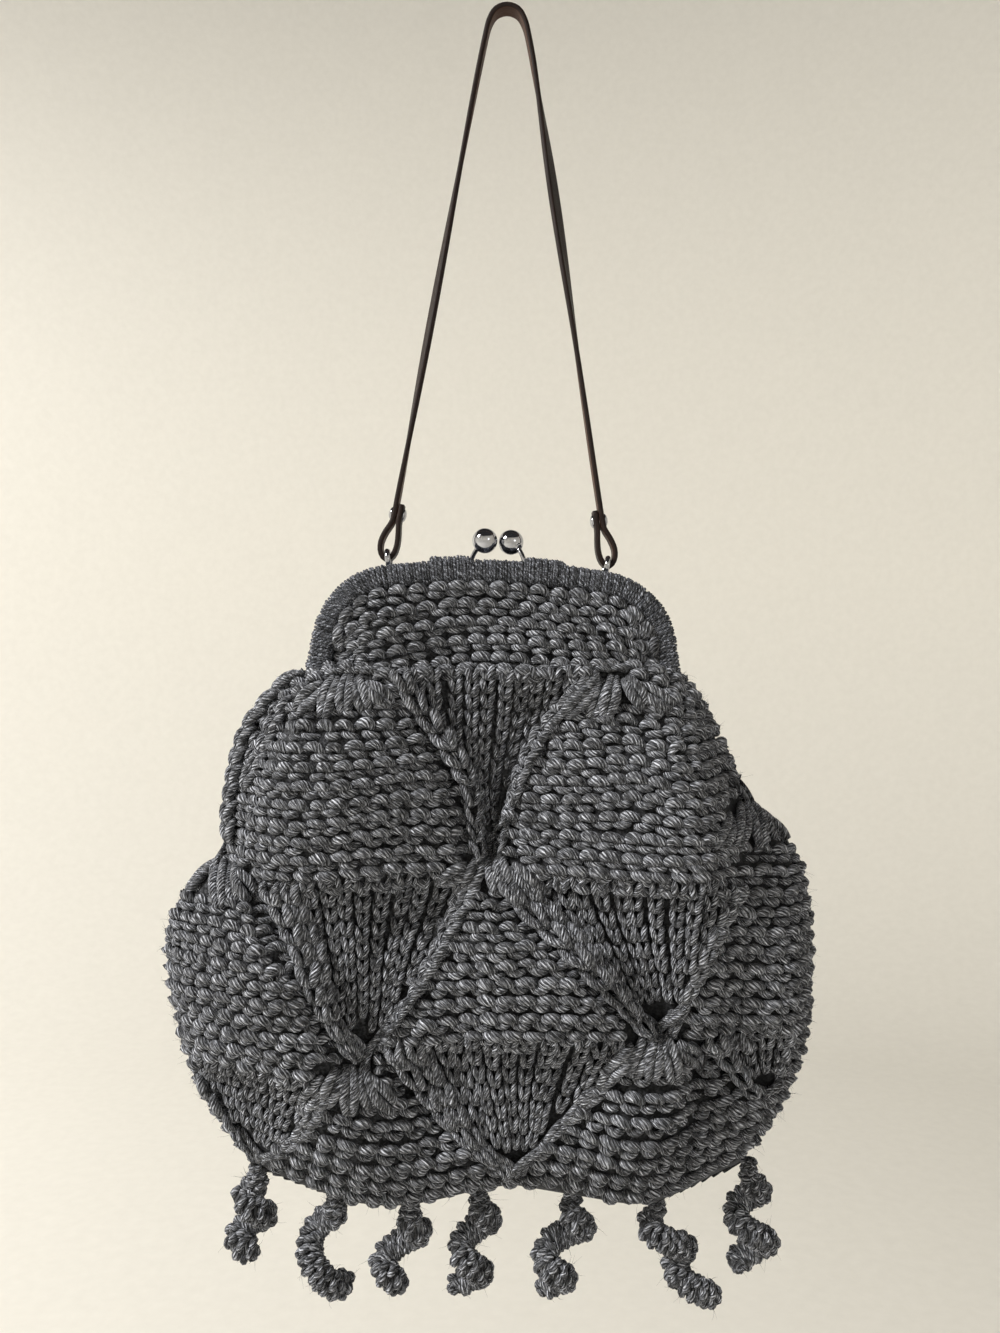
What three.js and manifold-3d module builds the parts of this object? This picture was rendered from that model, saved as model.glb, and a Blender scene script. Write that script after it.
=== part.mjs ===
// Kiss lock bag: a hand-knitted wool pouch on a hinged purse frame, hung by a leather strap.
// Millimetres, +Z up, front towards -Y. The origin is the underside of the strap at its highest
// point, where a hook carries the bag.
import * as THREE from "three";
import { mergeVertices } from "three/addons/utils/BufferGeometryUtils.js";
import Module from "manifold-3d";

const wasm = await Module();
wasm.setup();

// Clearance between neighbouring pieces
const GAP = 0.35;

// Purse frame: each half is an arch of flat bar, a wide crown arc with two corner arcs and two legs
const FRAME_X = -4.8;
const FRAME_Z = -269.9;
const FRAME_ROLL = THREE.MathUtils.degToRad(1.8);
const BACK_Y = 0;
const FRONT_Y = -9.6;
const MIDDLE_Y = (BACK_Y + FRONT_Y) / 2;
const CROWN_RADIUS = 350;
const CROWN_ANGLE = THREE.MathUtils.degToRad(8.6);
const CORNER_RADIUS = 33;
const LEG_ANGLE = THREE.MathUtils.degToRad(80);
const LEG_LENGTH = 10;
const RAIL_HEIGHT = 8;
const RAIL_DEPTH = 5;

// Wound yarn that covers each rail
const WRAP_HEIGHT = 11.6;
const WRAP_DEPTH = 8.6;
const WRAP_CORNER = 3.8;
const WRAP_TRIM = 2;

// Clasp: two balls on bent stems that snap past each other
const BALL_RADIUS = 6;
const BALL_X = 6.2;
const BALL_HEIGHT = 14.9;
const BALL_STAGGER = 1.5;
const STEM_RADIUS = 1.15;
const STEM_FOOT_X = 13.4;
const STEM_FOOT_HEIGHT = 2;
const STEM_BEND_X = 12.4;
const STEM_BEND_HEIGHT = 10.5;

// Oval strap rings, soldered upright on the back rail
const RING_X = 50.8;
const RING_WIDTH = 15.6;
const RING_HEIGHT = 11;
const RING_WIRE = 2.6;
const RING_SINK = 0.8;

// Hinge: one tab on each leg and a pin through both
const TAB_RADIUS = 4;
const TAB_THICKNESS = 1.8;
const TAB_OFFSET = 1.4;
const TAB_DROP = 5.6;
const PIN_RADIUS = 1.5;
const PIN_HEAD_RADIUS = 2.6;
const PIN_HEAD_THICKNESS = 1;

// Strap: a flat leather strip, twisted a little along each run and folded round a ring at each end
const STRAP_WIDTH = 8.6;
const STRAP_THICKNESS = 2.4;
const STRAP_LOOP_RADIUS = 3.9;
const STRAP_TIP = 23;
const STRAP_OVERLAP = STRAP_THICKNESS + GAP;
const STRAP_STEPS = 88;
// The left and the right run: twist in degrees, and its skew, under 1 where it is greatest nearer the ring
const STRAP_RUNS = [
  { twist: 20, skew: 0.76 },
  { twist: 30, skew: 1.73 },
];
const HOOK_BEND_WIDTH = 11;
const HOOK_BEND_DROP = 16;
const HOOK_BEND_RADIUS = 8.5;
const HOOK_BEND_ANGLES = [-75, -38, 0, 38, 75];
const RIVET_HEIGHT = 18.3;
const RIVET_SHANK = 1.4;
const RIVET_HEAD = 3.1;
const RIVET_HEAD_THICKNESS = 1.1;

// Pouch: knitted wall, its rim under the rails and its bottom edge a scalloped seam
const WALL = 6;
const RIM_HALF_WIDTH = 74.5;
const RIM_GAP = 0.7;
const RIM_DEPTH = 9.1;
const SHOULDER_Z = -312;
const NECK_ROWS = 4;
const BODY_ROWS = 24;
const INNER_BODY_ROWS = 22;
const AROUND = 56;
const INNER_AROUND = 28;
const INNER_RELIEF = 0.8;
const MOUTH_REACH = 12;
const LEG_ROOM = 0.9;
const LEG_SLOT_DEPTH = 16.4;
const LEG_SLOT_Z = -324;
const SIDE_SLIT_X = 62;
const SIDE_SLIT_DEPTH = 6;
const BACK_RELIEF = 0.8;

// Body sections: height, left and right edge, and half depth to the front and the back
const SECTIONS = [
  { z: -312, left: -81, right: 71, front: 17, back: 15 },
  { z: -316, left: -101, right: 92, front: 21, back: 18 },
  { z: -330, left: -116, right: 100.5, front: 24, back: 20 },
  { z: -349, left: -126, right: 108.5, front: 24, back: 20 },
  { z: -384, left: -132, right: 118, front: 24, back: 20 },
  { z: -401, left: -133, right: 137, front: 24, back: 20 },
  { z: -427, left: -157, right: 143.5, front: 25, back: 21 },
  { z: -449, left: -162, right: 144.5, front: 26, back: 22 },
  { z: -491, left: -155, right: 142, front: 25, back: 21 },
  { z: -519, left: -146, right: 134, front: 21, back: 18 },
  { z: -537, left: -135, right: 125, front: 15, back: 13 },
  { z: -554, left: -122, right: 113, front: 5, back: 5 },
];

// Scalloped bottom seam: how low it hangs between its ends, and its two lobes
const SEAM = { end: -549, sag: 10.5, middle: -4.5, half: 119.5, startZ: -470 };
const SEAM_LOBES = [
  { x: -60, half: 68, drop: 11.5 },
  { x: 63, half: 48, drop: 11.5 },
];

// Puffed scales: each widens from a gathered knot down to an overhanging ledge
const SCALES = [
  { knotX: -74, knotZ: -322, ledgeX: -70, ledgeZ: -411, half: 60, puff: 11 },
  { knotX: 49, knotZ: -323, ledgeX: 53, ledgeZ: -411, half: 61, puff: 11 },
  { knotX: -136, knotZ: -409, ledgeX: -124, ledgeZ: -500, half: 58, puff: 10 },
  { knotX: -8, knotZ: -405, ledgeX: 2, ledgeZ: -484, half: 66, puff: 12 },
  { knotX: 115, knotZ: -382, ledgeX: 124, ledgeZ: -478, half: 54, puff: 10 },
  { knotX: -72, knotZ: -497, ledgeX: -58, ledgeZ: -585, half: 58, puff: 10 },
  { knotX: 67, knotZ: -484, ledgeX: 58, ledgeZ: -585, half: 48, puff: 10 },
  { knotX: 104, knotZ: -486, ledgeX: 108, ledgeZ: -570, half: 22, puff: 6 },
];

// Recessed fans between the scales, wide at the top and tapering to a point at the next knot
const FANS = [
  { topX: -5.5, topZ: -320, pointX: -9, pointZ: -398, half: 39, depth: 7, taper: 1.8 },
  { topX: -134, topZ: -322, pointX: -138, pointZ: -404, half: 30, depth: 5, taper: 1.3 },
  { topX: 122, topZ: -322, pointX: 116, pointZ: -380, half: 26, depth: 5, taper: 1.3 },
  { topX: -60.5, topZ: -416, pointX: -65, pointZ: -489, half: 41, depth: 8, taper: 0.95 },
  { topX: 53.5, topZ: -416, pointX: 69.5, pointZ: -480, half: 48, depth: 8, taper: 1.15 },
  { topX: 1, topZ: -488, pointX: 3.5, pointZ: -540, half: 50, depth: 7, taper: 1.0 },
  { topX: -117, topZ: -504, pointX: -115, pointZ: -544, half: 31, depth: 6, taper: 1.0 },
  { topX: 115, topZ: -486, pointX: 121, pointZ: -516, half: 16, depth: 4, taper: 1.0 },
];
const FAN_POINT_HALF = 5;
const FAN_INNER_SPREAD = 11;

// Corkscrew tassels: seam position, drop, sideways lean, coil radius, turns, starting phase
// and how far the end turns up again
const CURL_RADIUS = 6.8;
const CURL_START = 0.65;
const CURL_STEPS = 18;
const CURL_SIDES = 6;
const CURL_SEAM_GAP = 3.2;
const CURLS = [
  { x: -119, drop: 34, lean: -4, coil: 5.4, turns: -1.8, phase: 50, hook: 0 },
  { x: -82, drop: 48, lean: -7, coil: 10, turns: -0.9, phase: 20, hook: 10 },
  { x: -46, drop: 35, lean: -10, coil: 5.8, turns: -1.4, phase: -120, hook: 0 },
  { x: -13.5, drop: 49, lean: -6, coil: 6, turns: -1.85, phase: 223, hook: 3 },
  { x: 31, drop: 47, lean: -12, coil: 6.8, turns: -1.9, phase: -76, hook: 0 },
  { x: 71, drop: 42, lean: 20, coil: 6.2, turns: -1.8, phase: 10, hook: 0 },
  { x: 115, drop: 46, lean: 2, coil: 6.8, turns: -1.8, phase: 186, hook: 0 },
];

const chrome = () => new THREE.MeshStandardMaterial({ color: 0xd4d4d2, roughness: 0.12, metalness: 1 });
const wool = () => new THREE.MeshStandardMaterial({ color: 0x67666a, roughness: 0.95, metalness: 0 });
const windingYarn = () => new THREE.MeshStandardMaterial({ color: 0x5f5f64, roughness: 0.95, metalness: 0 });
const leather = () => new THREE.MeshStandardMaterial({ color: 0x32231c, roughness: 0.55, metalness: 0 });

const { lerp, smoothstep, clamp } = THREE.MathUtils;

function solidOf(geometry) {
  const bare = geometry.clone();
  bare.deleteAttribute("normal");
  bare.deleteAttribute("uv");
  const merged = mergeVertices(bare, 1e-4);
  return new wasm.Manifold(new wasm.Mesh({
    numProp: 3,
    vertProperties: new Float32Array(merged.attributes.position.array),
    triVerts: new Uint32Array(merged.index.array),
  }));
}

function geometryOf(solid) {
  const mesh = solid.getMesh();
  const geometry = new THREE.BufferGeometry();
  geometry.setAttribute("position", new THREE.BufferAttribute(new Float32Array(mesh.vertProperties), 3));
  geometry.setIndex(new THREE.BufferAttribute(new Uint32Array(mesh.triVerts), 1));
  return geometry;
}

function named(name, solid, material) {
  const mesh = new THREE.Mesh(geometryOf(solid), material);
  mesh.name = name;
  return mesh;
}

// A closed body through rings of points that run right-handed about the direction of travel
function loft(rings) {
  const count = rings[0].length;
  const points = rings.flat();
  const index = [];
  for (let r = 0; r + 1 < rings.length; r++) {
    for (let i = 0; i < count; i++) {
      const a = r * count + i;
      const b = r * count + ((i + 1) % count);
      index.push(a, b, b + count, a, b + count, a + count);
    }
  }
  const lastRow = (rings.length - 1) * count;
  for (let i = 0; i < count / 2; i++) {
    const [a, b, c, d] = [i, i + 1, count - i - 1, (count - i) % count];
    if (b !== c) {
      index.push(a, c, b, lastRow + a, lastRow + b, lastRow + c);
    }
    if (a !== d) {
      index.push(a, d, c, lastRow + a, lastRow + c, lastRow + d);
    }
  }
  const geometry = new THREE.BufferGeometry().setFromPoints(points);
  geometry.setIndex(index);
  return solidOf(geometry);
}

// Smooth reading of a table column at a given height
function readSection(z, column) {
  const last = SECTIONS.length - 1;
  const at = clamp(SECTIONS.findIndex((row) => row.z < z), 0, last);
  const i = z <= SECTIONS[last].z ? last - 1 : Math.max(at - 1, 0);
  const slope = (k) => {
    const before = SECTIONS[Math.max(k - 1, 0)];
    const after = SECTIONS[Math.min(k + 1, last)];
    return (after[column] - before[column]) / (after.z - before.z);
  };
  const [p, q] = [SECTIONS[i], SECTIONS[i + 1]];
  const span = q.z - p.z;
  const t = clamp((z - p.z) / span, 0, 1);
  const rise = q[column] - p[column];
  const bendIn = slope(i) * span - rise;
  const bendOut = rise - slope(i + 1) * span;
  return p[column] + t * rise + t * (1 - t) * ((1 - t) * bendIn + t * bendOut);
}

// The centre line of the arch, offset outwards, at a length measured from the crown
const CROWN_LENGTH = CROWN_RADIUS * CROWN_ANGLE;
const CORNER_LENGTH = CORNER_RADIUS * (LEG_ANGLE - CROWN_ANGLE);
const HALF_ARCH = CROWN_LENGTH + CORNER_LENGTH + LEG_LENGTH;
const CORNER_X = (CROWN_RADIUS - CORNER_RADIUS) * Math.sin(CROWN_ANGLE);
const CORNER_Z = (CROWN_RADIUS - CORNER_RADIUS) * Math.cos(CROWN_ANGLE) - CROWN_RADIUS;

function archPoint(length, offset = 0) {
  const far = Math.abs(length);
  const side = length < 0 ? -1 : 1;
  const onCrown = far <= CROWN_LENGTH;
  const bend = Math.min((far - CROWN_LENGTH) / CORNER_RADIUS + CROWN_ANGLE, LEG_ANGLE);
  const angle = onCrown ? far / CROWN_RADIUS : bend;
  const radius = (onCrown ? CROWN_RADIUS : CORNER_RADIUS) + offset;
  const leg = Math.max(far - CROWN_LENGTH - CORNER_LENGTH, 0);
  const centreX = onCrown ? 0 : CORNER_X;
  const centreZ = onCrown ? -CROWN_RADIUS : CORNER_Z;
  return {
    x: side * (centreX + radius * Math.sin(angle) + leg * Math.cos(angle)),
    z: centreZ + radius * Math.cos(angle) - leg * Math.sin(angle),
    angle: side * angle,
  };
}

class ArchCurve extends THREE.Curve {
  constructor(y, trim = 0) {
    super();
    this.y = y;
    this.reach = HALF_ARCH - trim;
  }

  getPoint(t, target = new THREE.Vector3()) {
    const p = archPoint((2 * t - 1) * this.reach);
    return target.set(p.x, this.y, p.z);
  }
}

const RAIL_STEPS = 22;

function rectangle(width, height) {
  const shape = new THREE.Shape();
  shape.moveTo(-width / 2, -height / 2);
  shape.lineTo(width / 2, -height / 2);
  shape.lineTo(width / 2, height / 2);
  shape.lineTo(-width / 2, height / 2);
  shape.closePath();
  return shape;
}

function roundedRectangle(width, height, corner) {
  const [w, h] = [width / 2 - corner, height / 2 - corner];
  const shape = new THREE.Shape();
  shape.absarc(w, h, corner, 0, Math.PI / 2);
  shape.absarc(-w, h, corner, Math.PI / 2, Math.PI);
  shape.absarc(-w, -h, corner, Math.PI, 1.5 * Math.PI);
  shape.absarc(w, -h, corner, 1.5 * Math.PI, 2 * Math.PI);
  shape.closePath();
  return shape;
}

function extrudeAlong(shape, path, steps, curveSegments = 1) {
  return solidOf(new THREE.ExtrudeGeometry(shape, { extrudePath: path, steps, curveSegments }));
}

function disc(radius) {
  const shape = new THREE.Shape();
  shape.absarc(0, 0, radius, 0, 2 * Math.PI);
  return shape;
}

// Clasp: the stem of one half leans over the other, so side is -1 for the back half and 1 for the front
function claspEnd(side) {
  return new THREE.Vector3(side * BALL_X, MIDDLE_Y + side * BALL_STAGGER, BALL_HEIGHT);
}

function claspStem(side, railY, radius) {
  const foot = new THREE.Vector3(side * STEM_FOOT_X, railY, STEM_FOOT_HEIGHT);
  const bend = new THREE.Vector3(side * STEM_BEND_X, railY, STEM_BEND_HEIGHT);
  const path = new THREE.QuadraticBezierCurve3(foot, bend, claspEnd(side));
  const stemSteps = 6;
  const quarterSides = 4;
  return extrudeAlong(disc(radius), path, stemSteps, quarterSides);
}

function claspBall(side) {
  const ball = new THREE.SphereGeometry(BALL_RADIUS, 12, 8);
  const centre = claspEnd(side);
  return solidOf(ball.translate(centre.x, centre.y, centre.z));
}

// Strap ring: a torus stretched to an oval, standing on the rail in the plane across it
function ringPlace(side) {
  const foot = archPoint(side * CROWN_RADIUS * Math.asin(RING_X / CROWN_RADIUS), RAIL_HEIGHT / 2 - RING_SINK);
  const out = new THREE.Vector3(Math.sin(foot.angle), 0, Math.cos(foot.angle));
  const base = new THREE.Vector3(foot.x, BACK_Y, foot.z);
  return { base, out };
}

function strapRing(side, wireRadius) {
  const bend = (RING_HEIGHT - RING_WIRE) / 2;
  const stretch = (RING_WIDTH - RING_HEIGHT) / 2;
  const torus = new THREE.TorusGeometry(bend, wireRadius, 6, 16);
  const position = torus.attributes.position;
  const flat = 1e-3;
  for (let i = 0; i < position.count; i++) {
    const x = position.getX(i);
    const shift = Math.abs(x) < flat ? 0 : Math.sign(x) * stretch;
    position.setX(i, x + shift);
  }
  const { base, out } = ringPlace(side);
  const centre = base.clone().addScaledVector(out, RING_HEIGHT / 2);
  const along = new THREE.Vector3().crossVectors(new THREE.Vector3(0, 1, 0), out);
  const place = new THREE.Matrix4().makeBasis(new THREE.Vector3(0, 1, 0), out, along);
  torus.applyMatrix4(place.setPosition(centre));
  return solidOf(torus);
}

// Hinge
function cylinderAlongX(radius, length, centre) {
  const bar = new THREE.CylinderGeometry(radius, radius, length, 10);
  bar.rotateZ(-Math.PI / 2);
  return solidOf(bar.translate(centre.x, centre.y, centre.z));
}

function box(lowest, highest) {
  const size = new THREE.Vector3().subVectors(highest, lowest);
  const middle = new THREE.Vector3().addVectors(lowest, highest).multiplyScalar(0.5);
  const block = new THREE.BoxGeometry(size.x, size.y, size.z);
  return solidOf(block.translate(middle.x, middle.y, middle.z));
}

function hingeCentre(side) {
  const end = archPoint(side * HALF_ARCH);
  return new THREE.Vector3(end.x, MIDDLE_Y, end.z - TAB_DROP);
}

function hingeTab(side, railY, offset) {
  const pin = hingeCentre(side);
  const x = pin.x + side * offset;
  const plate = cylinderAlongX(TAB_RADIUS, TAB_THICKNESS, new THREE.Vector3(x, pin.y, pin.z));
  const half = TAB_THICKNESS / 2;
  const inset = 0.1;
  const outerY = railY + Math.sign(railY - MIDDLE_Y) * (RAIL_DEPTH / 2 - inset);
  const innerY = railY - Math.sign(railY - MIDDLE_Y) * (RAIL_DEPTH / 2 - inset);
  const [lowY, highY] = [Math.min(outerY, innerY), Math.max(outerY, innerY)];
  const post = box(
    new THREE.Vector3(x - half, lowY, pin.z - TAB_RADIUS / 2),
    new THREE.Vector3(x + half, highY, pin.z + TAB_DROP + LEG_LENGTH / 4),
  );
  const foot = box(
    new THREE.Vector3(x - half, Math.min(outerY, MIDDLE_Y), pin.z - TAB_RADIUS / 2),
    new THREE.Vector3(x + half, Math.max(outerY, MIDDLE_Y), pin.z + TAB_RADIUS / 2),
  );
  const hole = cylinderAlongX(PIN_RADIUS + GAP, 3 * TAB_THICKNESS, new THREE.Vector3(x, pin.y, pin.z));
  return plate.add(post).add(foot).subtract(hole);
}

function hingePin(side) {
  const centre = hingeCentre(side);
  const tabFace = TAB_OFFSET + TAB_THICKNESS / 2;
  const headX = tabFace + GAP + PIN_HEAD_THICKNESS / 2;
  const shank = cylinderAlongX(PIN_RADIUS, 2 * headX, centre);
  const left = centre.clone().setX(centre.x - headX);
  const right = centre.clone().setX(centre.x + headX);
  return shank
    .add(cylinderAlongX(PIN_HEAD_RADIUS, PIN_HEAD_THICKNESS, left))
    .add(cylinderAlongX(PIN_HEAD_RADIUS, PIN_HEAD_THICKNESS, right));
}

// One half of the frame: rail, clasp and hinge tabs, and on the back half the strap rings
function frameHalf(railY, claspSide, tabOffset) {
  const rail = extrudeAlong(rectangle(RAIL_DEPTH, RAIL_HEIGHT), new ArchCurve(railY), RAIL_STEPS);
  return rail
    .add(claspStem(claspSide, railY, STEM_RADIUS))
    .add(claspBall(claspSide))
    .add(hingeTab(-1, railY, tabOffset))
    .add(hingeTab(1, railY, tabOffset));
}

function frameWrap(railY, claspSide) {
  const shape = roundedRectangle(WRAP_DEPTH, WRAP_HEIGHT, WRAP_CORNER);
  shape.holes.push(rectangle(RAIL_DEPTH + 2 * GAP, RAIL_HEIGHT + 2 * GAP));
  const sleeve = extrudeAlong(shape, new ArchCurve(railY, WRAP_TRIM), RAIL_STEPS);
  return sleeve.subtract(claspStem(claspSide, railY, STEM_RADIUS + GAP));
}

function frameGroup() {
  const group = new THREE.Group();
  group.position.set(FRAME_X, 0, FRAME_Z);
  group.rotation.y = FRAME_ROLL;
  const rings = [-1, 1].map((side) => strapRing(side, RING_WIRE / 2));
  const ringRoom = [-1, 1].map((side) => strapRing(side, RING_WIRE / 2 + GAP));
  const back = frameHalf(BACK_Y, -1, -TAB_OFFSET).add(rings[0]).add(rings[1]);
  const front = frameHalf(FRONT_Y, 1, TAB_OFFSET);
  const backWrap = frameWrap(BACK_Y, -1).subtract(ringRoom[0]).subtract(ringRoom[1]);
  group.add(named("frame_back", back, chrome()));
  group.add(named("frame_front", front, chrome()));
  group.add(named("frame_wrap_back", backWrap, windingYarn()));
  group.add(named("frame_wrap_front", frameWrap(FRONT_Y, 1), windingYarn()));
  group.add(named("hinge_pin_left", hingePin(-1), chrome()));
  group.add(named("hinge_pin_right", hingePin(1), chrome()));
  group.updateMatrixWorld(true);
  return group;
}

// Strap: the centre line of each fold is given across (towards the middle) and up from the ring's top wire
function strapFold(side, group) {
  const { base, out } = ringPlace(side);
  const wire = base.clone().addScaledVector(out, RING_HEIGHT - RING_WIRE / 2).applyMatrix4(group.matrixWorld);
  const shoulder = new THREE.Vector3(side * HOOK_BEND_WIDTH, BACK_Y, -HOOK_BEND_DROP);
  const up = shoulder.sub(wire).normalize();
  const inward = new THREE.Vector3(-side * up.z, 0, side * up.x);
  const at = (across, height) => wire.clone().addScaledVector(inward, across).addScaledVector(up, height);
  const bottom = -(RING_HEIGHT - RING_WIRE) / 2;
  const waist = STRAP_OVERLAP - 0.1;
  const path = [
    at(STRAP_OVERLAP, STRAP_TIP),
    at(STRAP_OVERLAP, 0.8 * STRAP_TIP),
    at(waist + 0.15, 0.62 * STRAP_TIP),
    at(0.93 * STRAP_LOOP_RADIUS, 0.36 * STRAP_TIP),
    at(STRAP_LOOP_RADIUS, 0.13 * STRAP_TIP),
    at(0.72 * STRAP_LOOP_RADIUS, 0.4 * bottom),
    at(0, bottom),
    at(-0.72 * STRAP_LOOP_RADIUS, 0.4 * bottom),
    at(-STRAP_LOOP_RADIUS, 0.13 * STRAP_TIP),
    at(-0.72 * STRAP_LOOP_RADIUS, 0.36 * STRAP_TIP),
    at(-0.1 * STRAP_LOOP_RADIUS, 0.62 * STRAP_TIP),
    at(0, 0.8 * STRAP_TIP),
    at(0, STRAP_TIP),
    at(0, 1.5 * STRAP_TIP),
  ];
  return { path, at, inward };
}

function strapCurve(group) {
  const left = strapFold(-1, group).path;
  const right = strapFold(1, group).path.reverse();
  const crown = STRAP_THICKNESS / 2;
  const arc = HOOK_BEND_ANGLES.map((degrees) => {
    const angle = THREE.MathUtils.degToRad(degrees);
    const drop = HOOK_BEND_RADIUS * (1 - Math.cos(angle));
    return new THREE.Vector3(HOOK_BEND_RADIUS * Math.sin(angle), BACK_Y, crown - drop);
  });
  const bend = [
    new THREE.Vector3(-HOOK_BEND_WIDTH, BACK_Y, -HOOK_BEND_DROP),
    ...arc,
    new THREE.Vector3(HOOK_BEND_WIDTH, BACK_Y, -HOOK_BEND_DROP),
  ];
  return new THREE.CatmullRomCurve3([...left, ...bend, ...right], false, "centripetal");
}

// Steps lie close together in the folds and at the hook bend, and far apart along the straight runs
function strapStops(curve) {
  const total = curve.getLength();
  const foldShare = 62 / total;
  const bendShare = 26 / total;
  const foldStops = Math.round(0.34 * STRAP_STEPS);
  const runStops = Math.round(0.08 * STRAP_STEPS);
  const bendStops = STRAP_STEPS - 2 * foldStops - 2 * runStops;
  const spans = [
    { from: 0, to: foldShare, count: foldStops },
    { from: foldShare, to: 0.5 - bendShare, count: runStops },
    { from: 0.5 - bendShare, to: 0.5 + bendShare, count: bendStops },
    { from: 0.5 + bendShare, to: 1 - foldShare, count: runStops },
    { from: 1 - foldShare, to: 1, count: foldStops },
  ];
  const stops = spans.flatMap(({ from, to, count }) => (
    Array.from({ length: count }, (_, i) => lerp(from, to, i / count))
  ));
  return { stops: [...stops, 1], foldShare, bendShare };
}

function strapSolid(group) {
  const curve = strapCurve(group);
  const { stops, foldShare, bendShare } = strapStops(curve);
  const runLength = 0.5 - bendShare - foldShare;
  const rings = stops.map((u) => {
    const centre = curve.getPointAt(u);
    const along = curve.getTangentAt(u);
    const runPlace = (Math.min(u, 1 - u) - foldShare) / runLength;
    const { twist, skew } = STRAP_RUNS[u < 0.5 ? 0 : 1];
    const wave = Math.sin(Math.PI * clamp(runPlace, 0, 1) ** skew) ** 2;
    const turn = THREE.MathUtils.degToRad(twist) * wave;
    const across = new THREE.Vector3(0, 1, 0).applyAxisAngle(along, turn);
    const face = new THREE.Vector3().crossVectors(along, across);
    const corner = (w, n) => centre.clone()
      .addScaledVector(across, w * STRAP_WIDTH / 2)
      .addScaledVector(face, n * STRAP_THICKNESS / 2);
    return [corner(1, 1), corner(-1, 1), corner(-1, -1), corner(1, -1)];
  });
  return loft(rings);
}

function rivetPart(side, group, radius, from, to) {
  const fold = strapFold(side, group);
  const start = fold.at(from, RIVET_HEIGHT);
  const bar = new THREE.CylinderGeometry(radius, radius, to - from, 8);
  const turn = new THREE.Quaternion().setFromUnitVectors(new THREE.Vector3(0, 1, 0), fold.inward);
  const middle = start.addScaledVector(fold.inward, (to - from) / 2);
  bar.applyQuaternion(turn);
  return solidOf(bar.translate(middle.x, middle.y, middle.z));
}

function strapRivet(side, group) {
  const outerFace = -STRAP_THICKNESS / 2 - GAP;
  const innerFace = STRAP_OVERLAP + STRAP_THICKNESS / 2 + GAP;
  const bite = RIVET_HEAD_THICKNESS / 2;
  return rivetPart(side, group, RIVET_SHANK, outerFace - bite, innerFace + bite)
    .add(rivetPart(side, group, RIVET_HEAD, outerFace - RIVET_HEAD_THICKNESS, outerFace))
    .add(rivetPart(side, group, RIVET_HEAD, innerFace, innerFace + RIVET_HEAD_THICKNESS));
}

function rivetHole(side, group) {
  return rivetPart(side, group, RIVET_SHANK + GAP, -2 * STRAP_THICKNESS, 3 * STRAP_THICKNESS);
}

// Pouch relief: how far the knit stands out of the plain section at a place on it
function scaleRelief(x, z) {
  const lifts = SCALES.map((s) => {
    const t = (s.knotZ - z) / (s.knotZ - s.ledgeZ);
    const half = s.half * lerp(0.3, 1, smoothstep(t, 0, 0.7));
    const across = (x - lerp(s.knotX, s.ledgeX, clamp(t, 0, 1))) / half;
    const dome = Math.max(1 - across * across, 0) ** 0.6;
    return s.puff * dome * smoothstep(t, -0.02, 0.45) * (1 - smoothstep(t, 0.97, 1.07));
  });
  return Math.max(...lifts);
}

function fanRelief(x, z, spread) {
  const dips = FANS.map((f) => {
    const t = (f.topZ - z) / (f.topZ - f.pointZ);
    const half = f.half * (1 - clamp(t, 0, 1)) ** f.taper + FAN_POINT_HALF + spread;
    const across = (x - lerp(f.topX, f.pointX, clamp(t, 0, 1))) / half;
    const trough = Math.max(1 - across ** 4, 0);
    return f.depth * trough * smoothstep(t, -0.05, 0.15) * (1 - smoothstep(t, 1, 1.12));
  });
  return Math.max(...dips);
}

function seamHeight(x) {
  const u = clamp((x - SEAM.middle) / SEAM.half, -1, 1);
  const lobes = SEAM_LOBES.map((lobe) => {
    const reach = clamp((x - lobe.x) / lobe.half, -1, 1);
    return lobe.drop * Math.cos(reach * Math.PI / 2) ** 2;
  });
  return SEAM.end - SEAM.sag * Math.sqrt(1 - u * u) - lobes.reduce((sum, drop) => sum + drop, 0);
}

function bodyPoint(angle, z, inset) {
  const left = readSection(z, "left") + inset;
  const right = readSection(z, "right") - inset;
  const isFront = Math.sin(angle) >= 0;
  const lean = Math.abs(Math.sin(angle));
  const x = (left + right) / 2 + (right - left) / 2 * Math.cos(angle);
  const isInner = inset > 0;
  const puff = scaleRelief(x, z) * (isInner ? INNER_RELIEF : 1);
  const dip = fanRelief(x, z, isInner ? FAN_INNER_SPREAD : 0);
  const relief = (puff - dip) * smoothstep(lean, 0, 0.6);
  const lowest = SECTIONS.at(-1).z;
  const flatten = 1 - smoothstep(-z, -SEAM.startZ, -lowest) ** 2;
  const depth = (readSection(z, isFront ? "front" : "back") - inset) * lean;
  const stand = depth + relief * flatten * (isFront ? 1 : BACK_RELIEF);
  const settle = smoothstep(-z, -SEAM.startZ, -lowest);
  return new THREE.Vector3(x, MIDDLE_Y - (isFront ? 1 : -1) * stand, z + settle * (seamHeight(x) - lowest));
}

// The neck hangs from the rim, which follows the underside of the wound rails, down to the shoulder
function rimHeight(x) {
  const offset = -(WRAP_HEIGHT / 2 + RIM_GAP);
  const onCrown = Math.abs(x) < (CROWN_RADIUS + offset) * Math.sin(CROWN_ANGLE);
  const radius = (onCrown ? CROWN_RADIUS : CORNER_RADIUS) + offset;
  const across = onCrown ? x : Math.abs(x) - CORNER_X;
  const low = onCrown ? -CROWN_RADIUS : CORNER_Z;
  return low + Math.sqrt(Math.max(radius * radius - across * across, 0));
}

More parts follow.
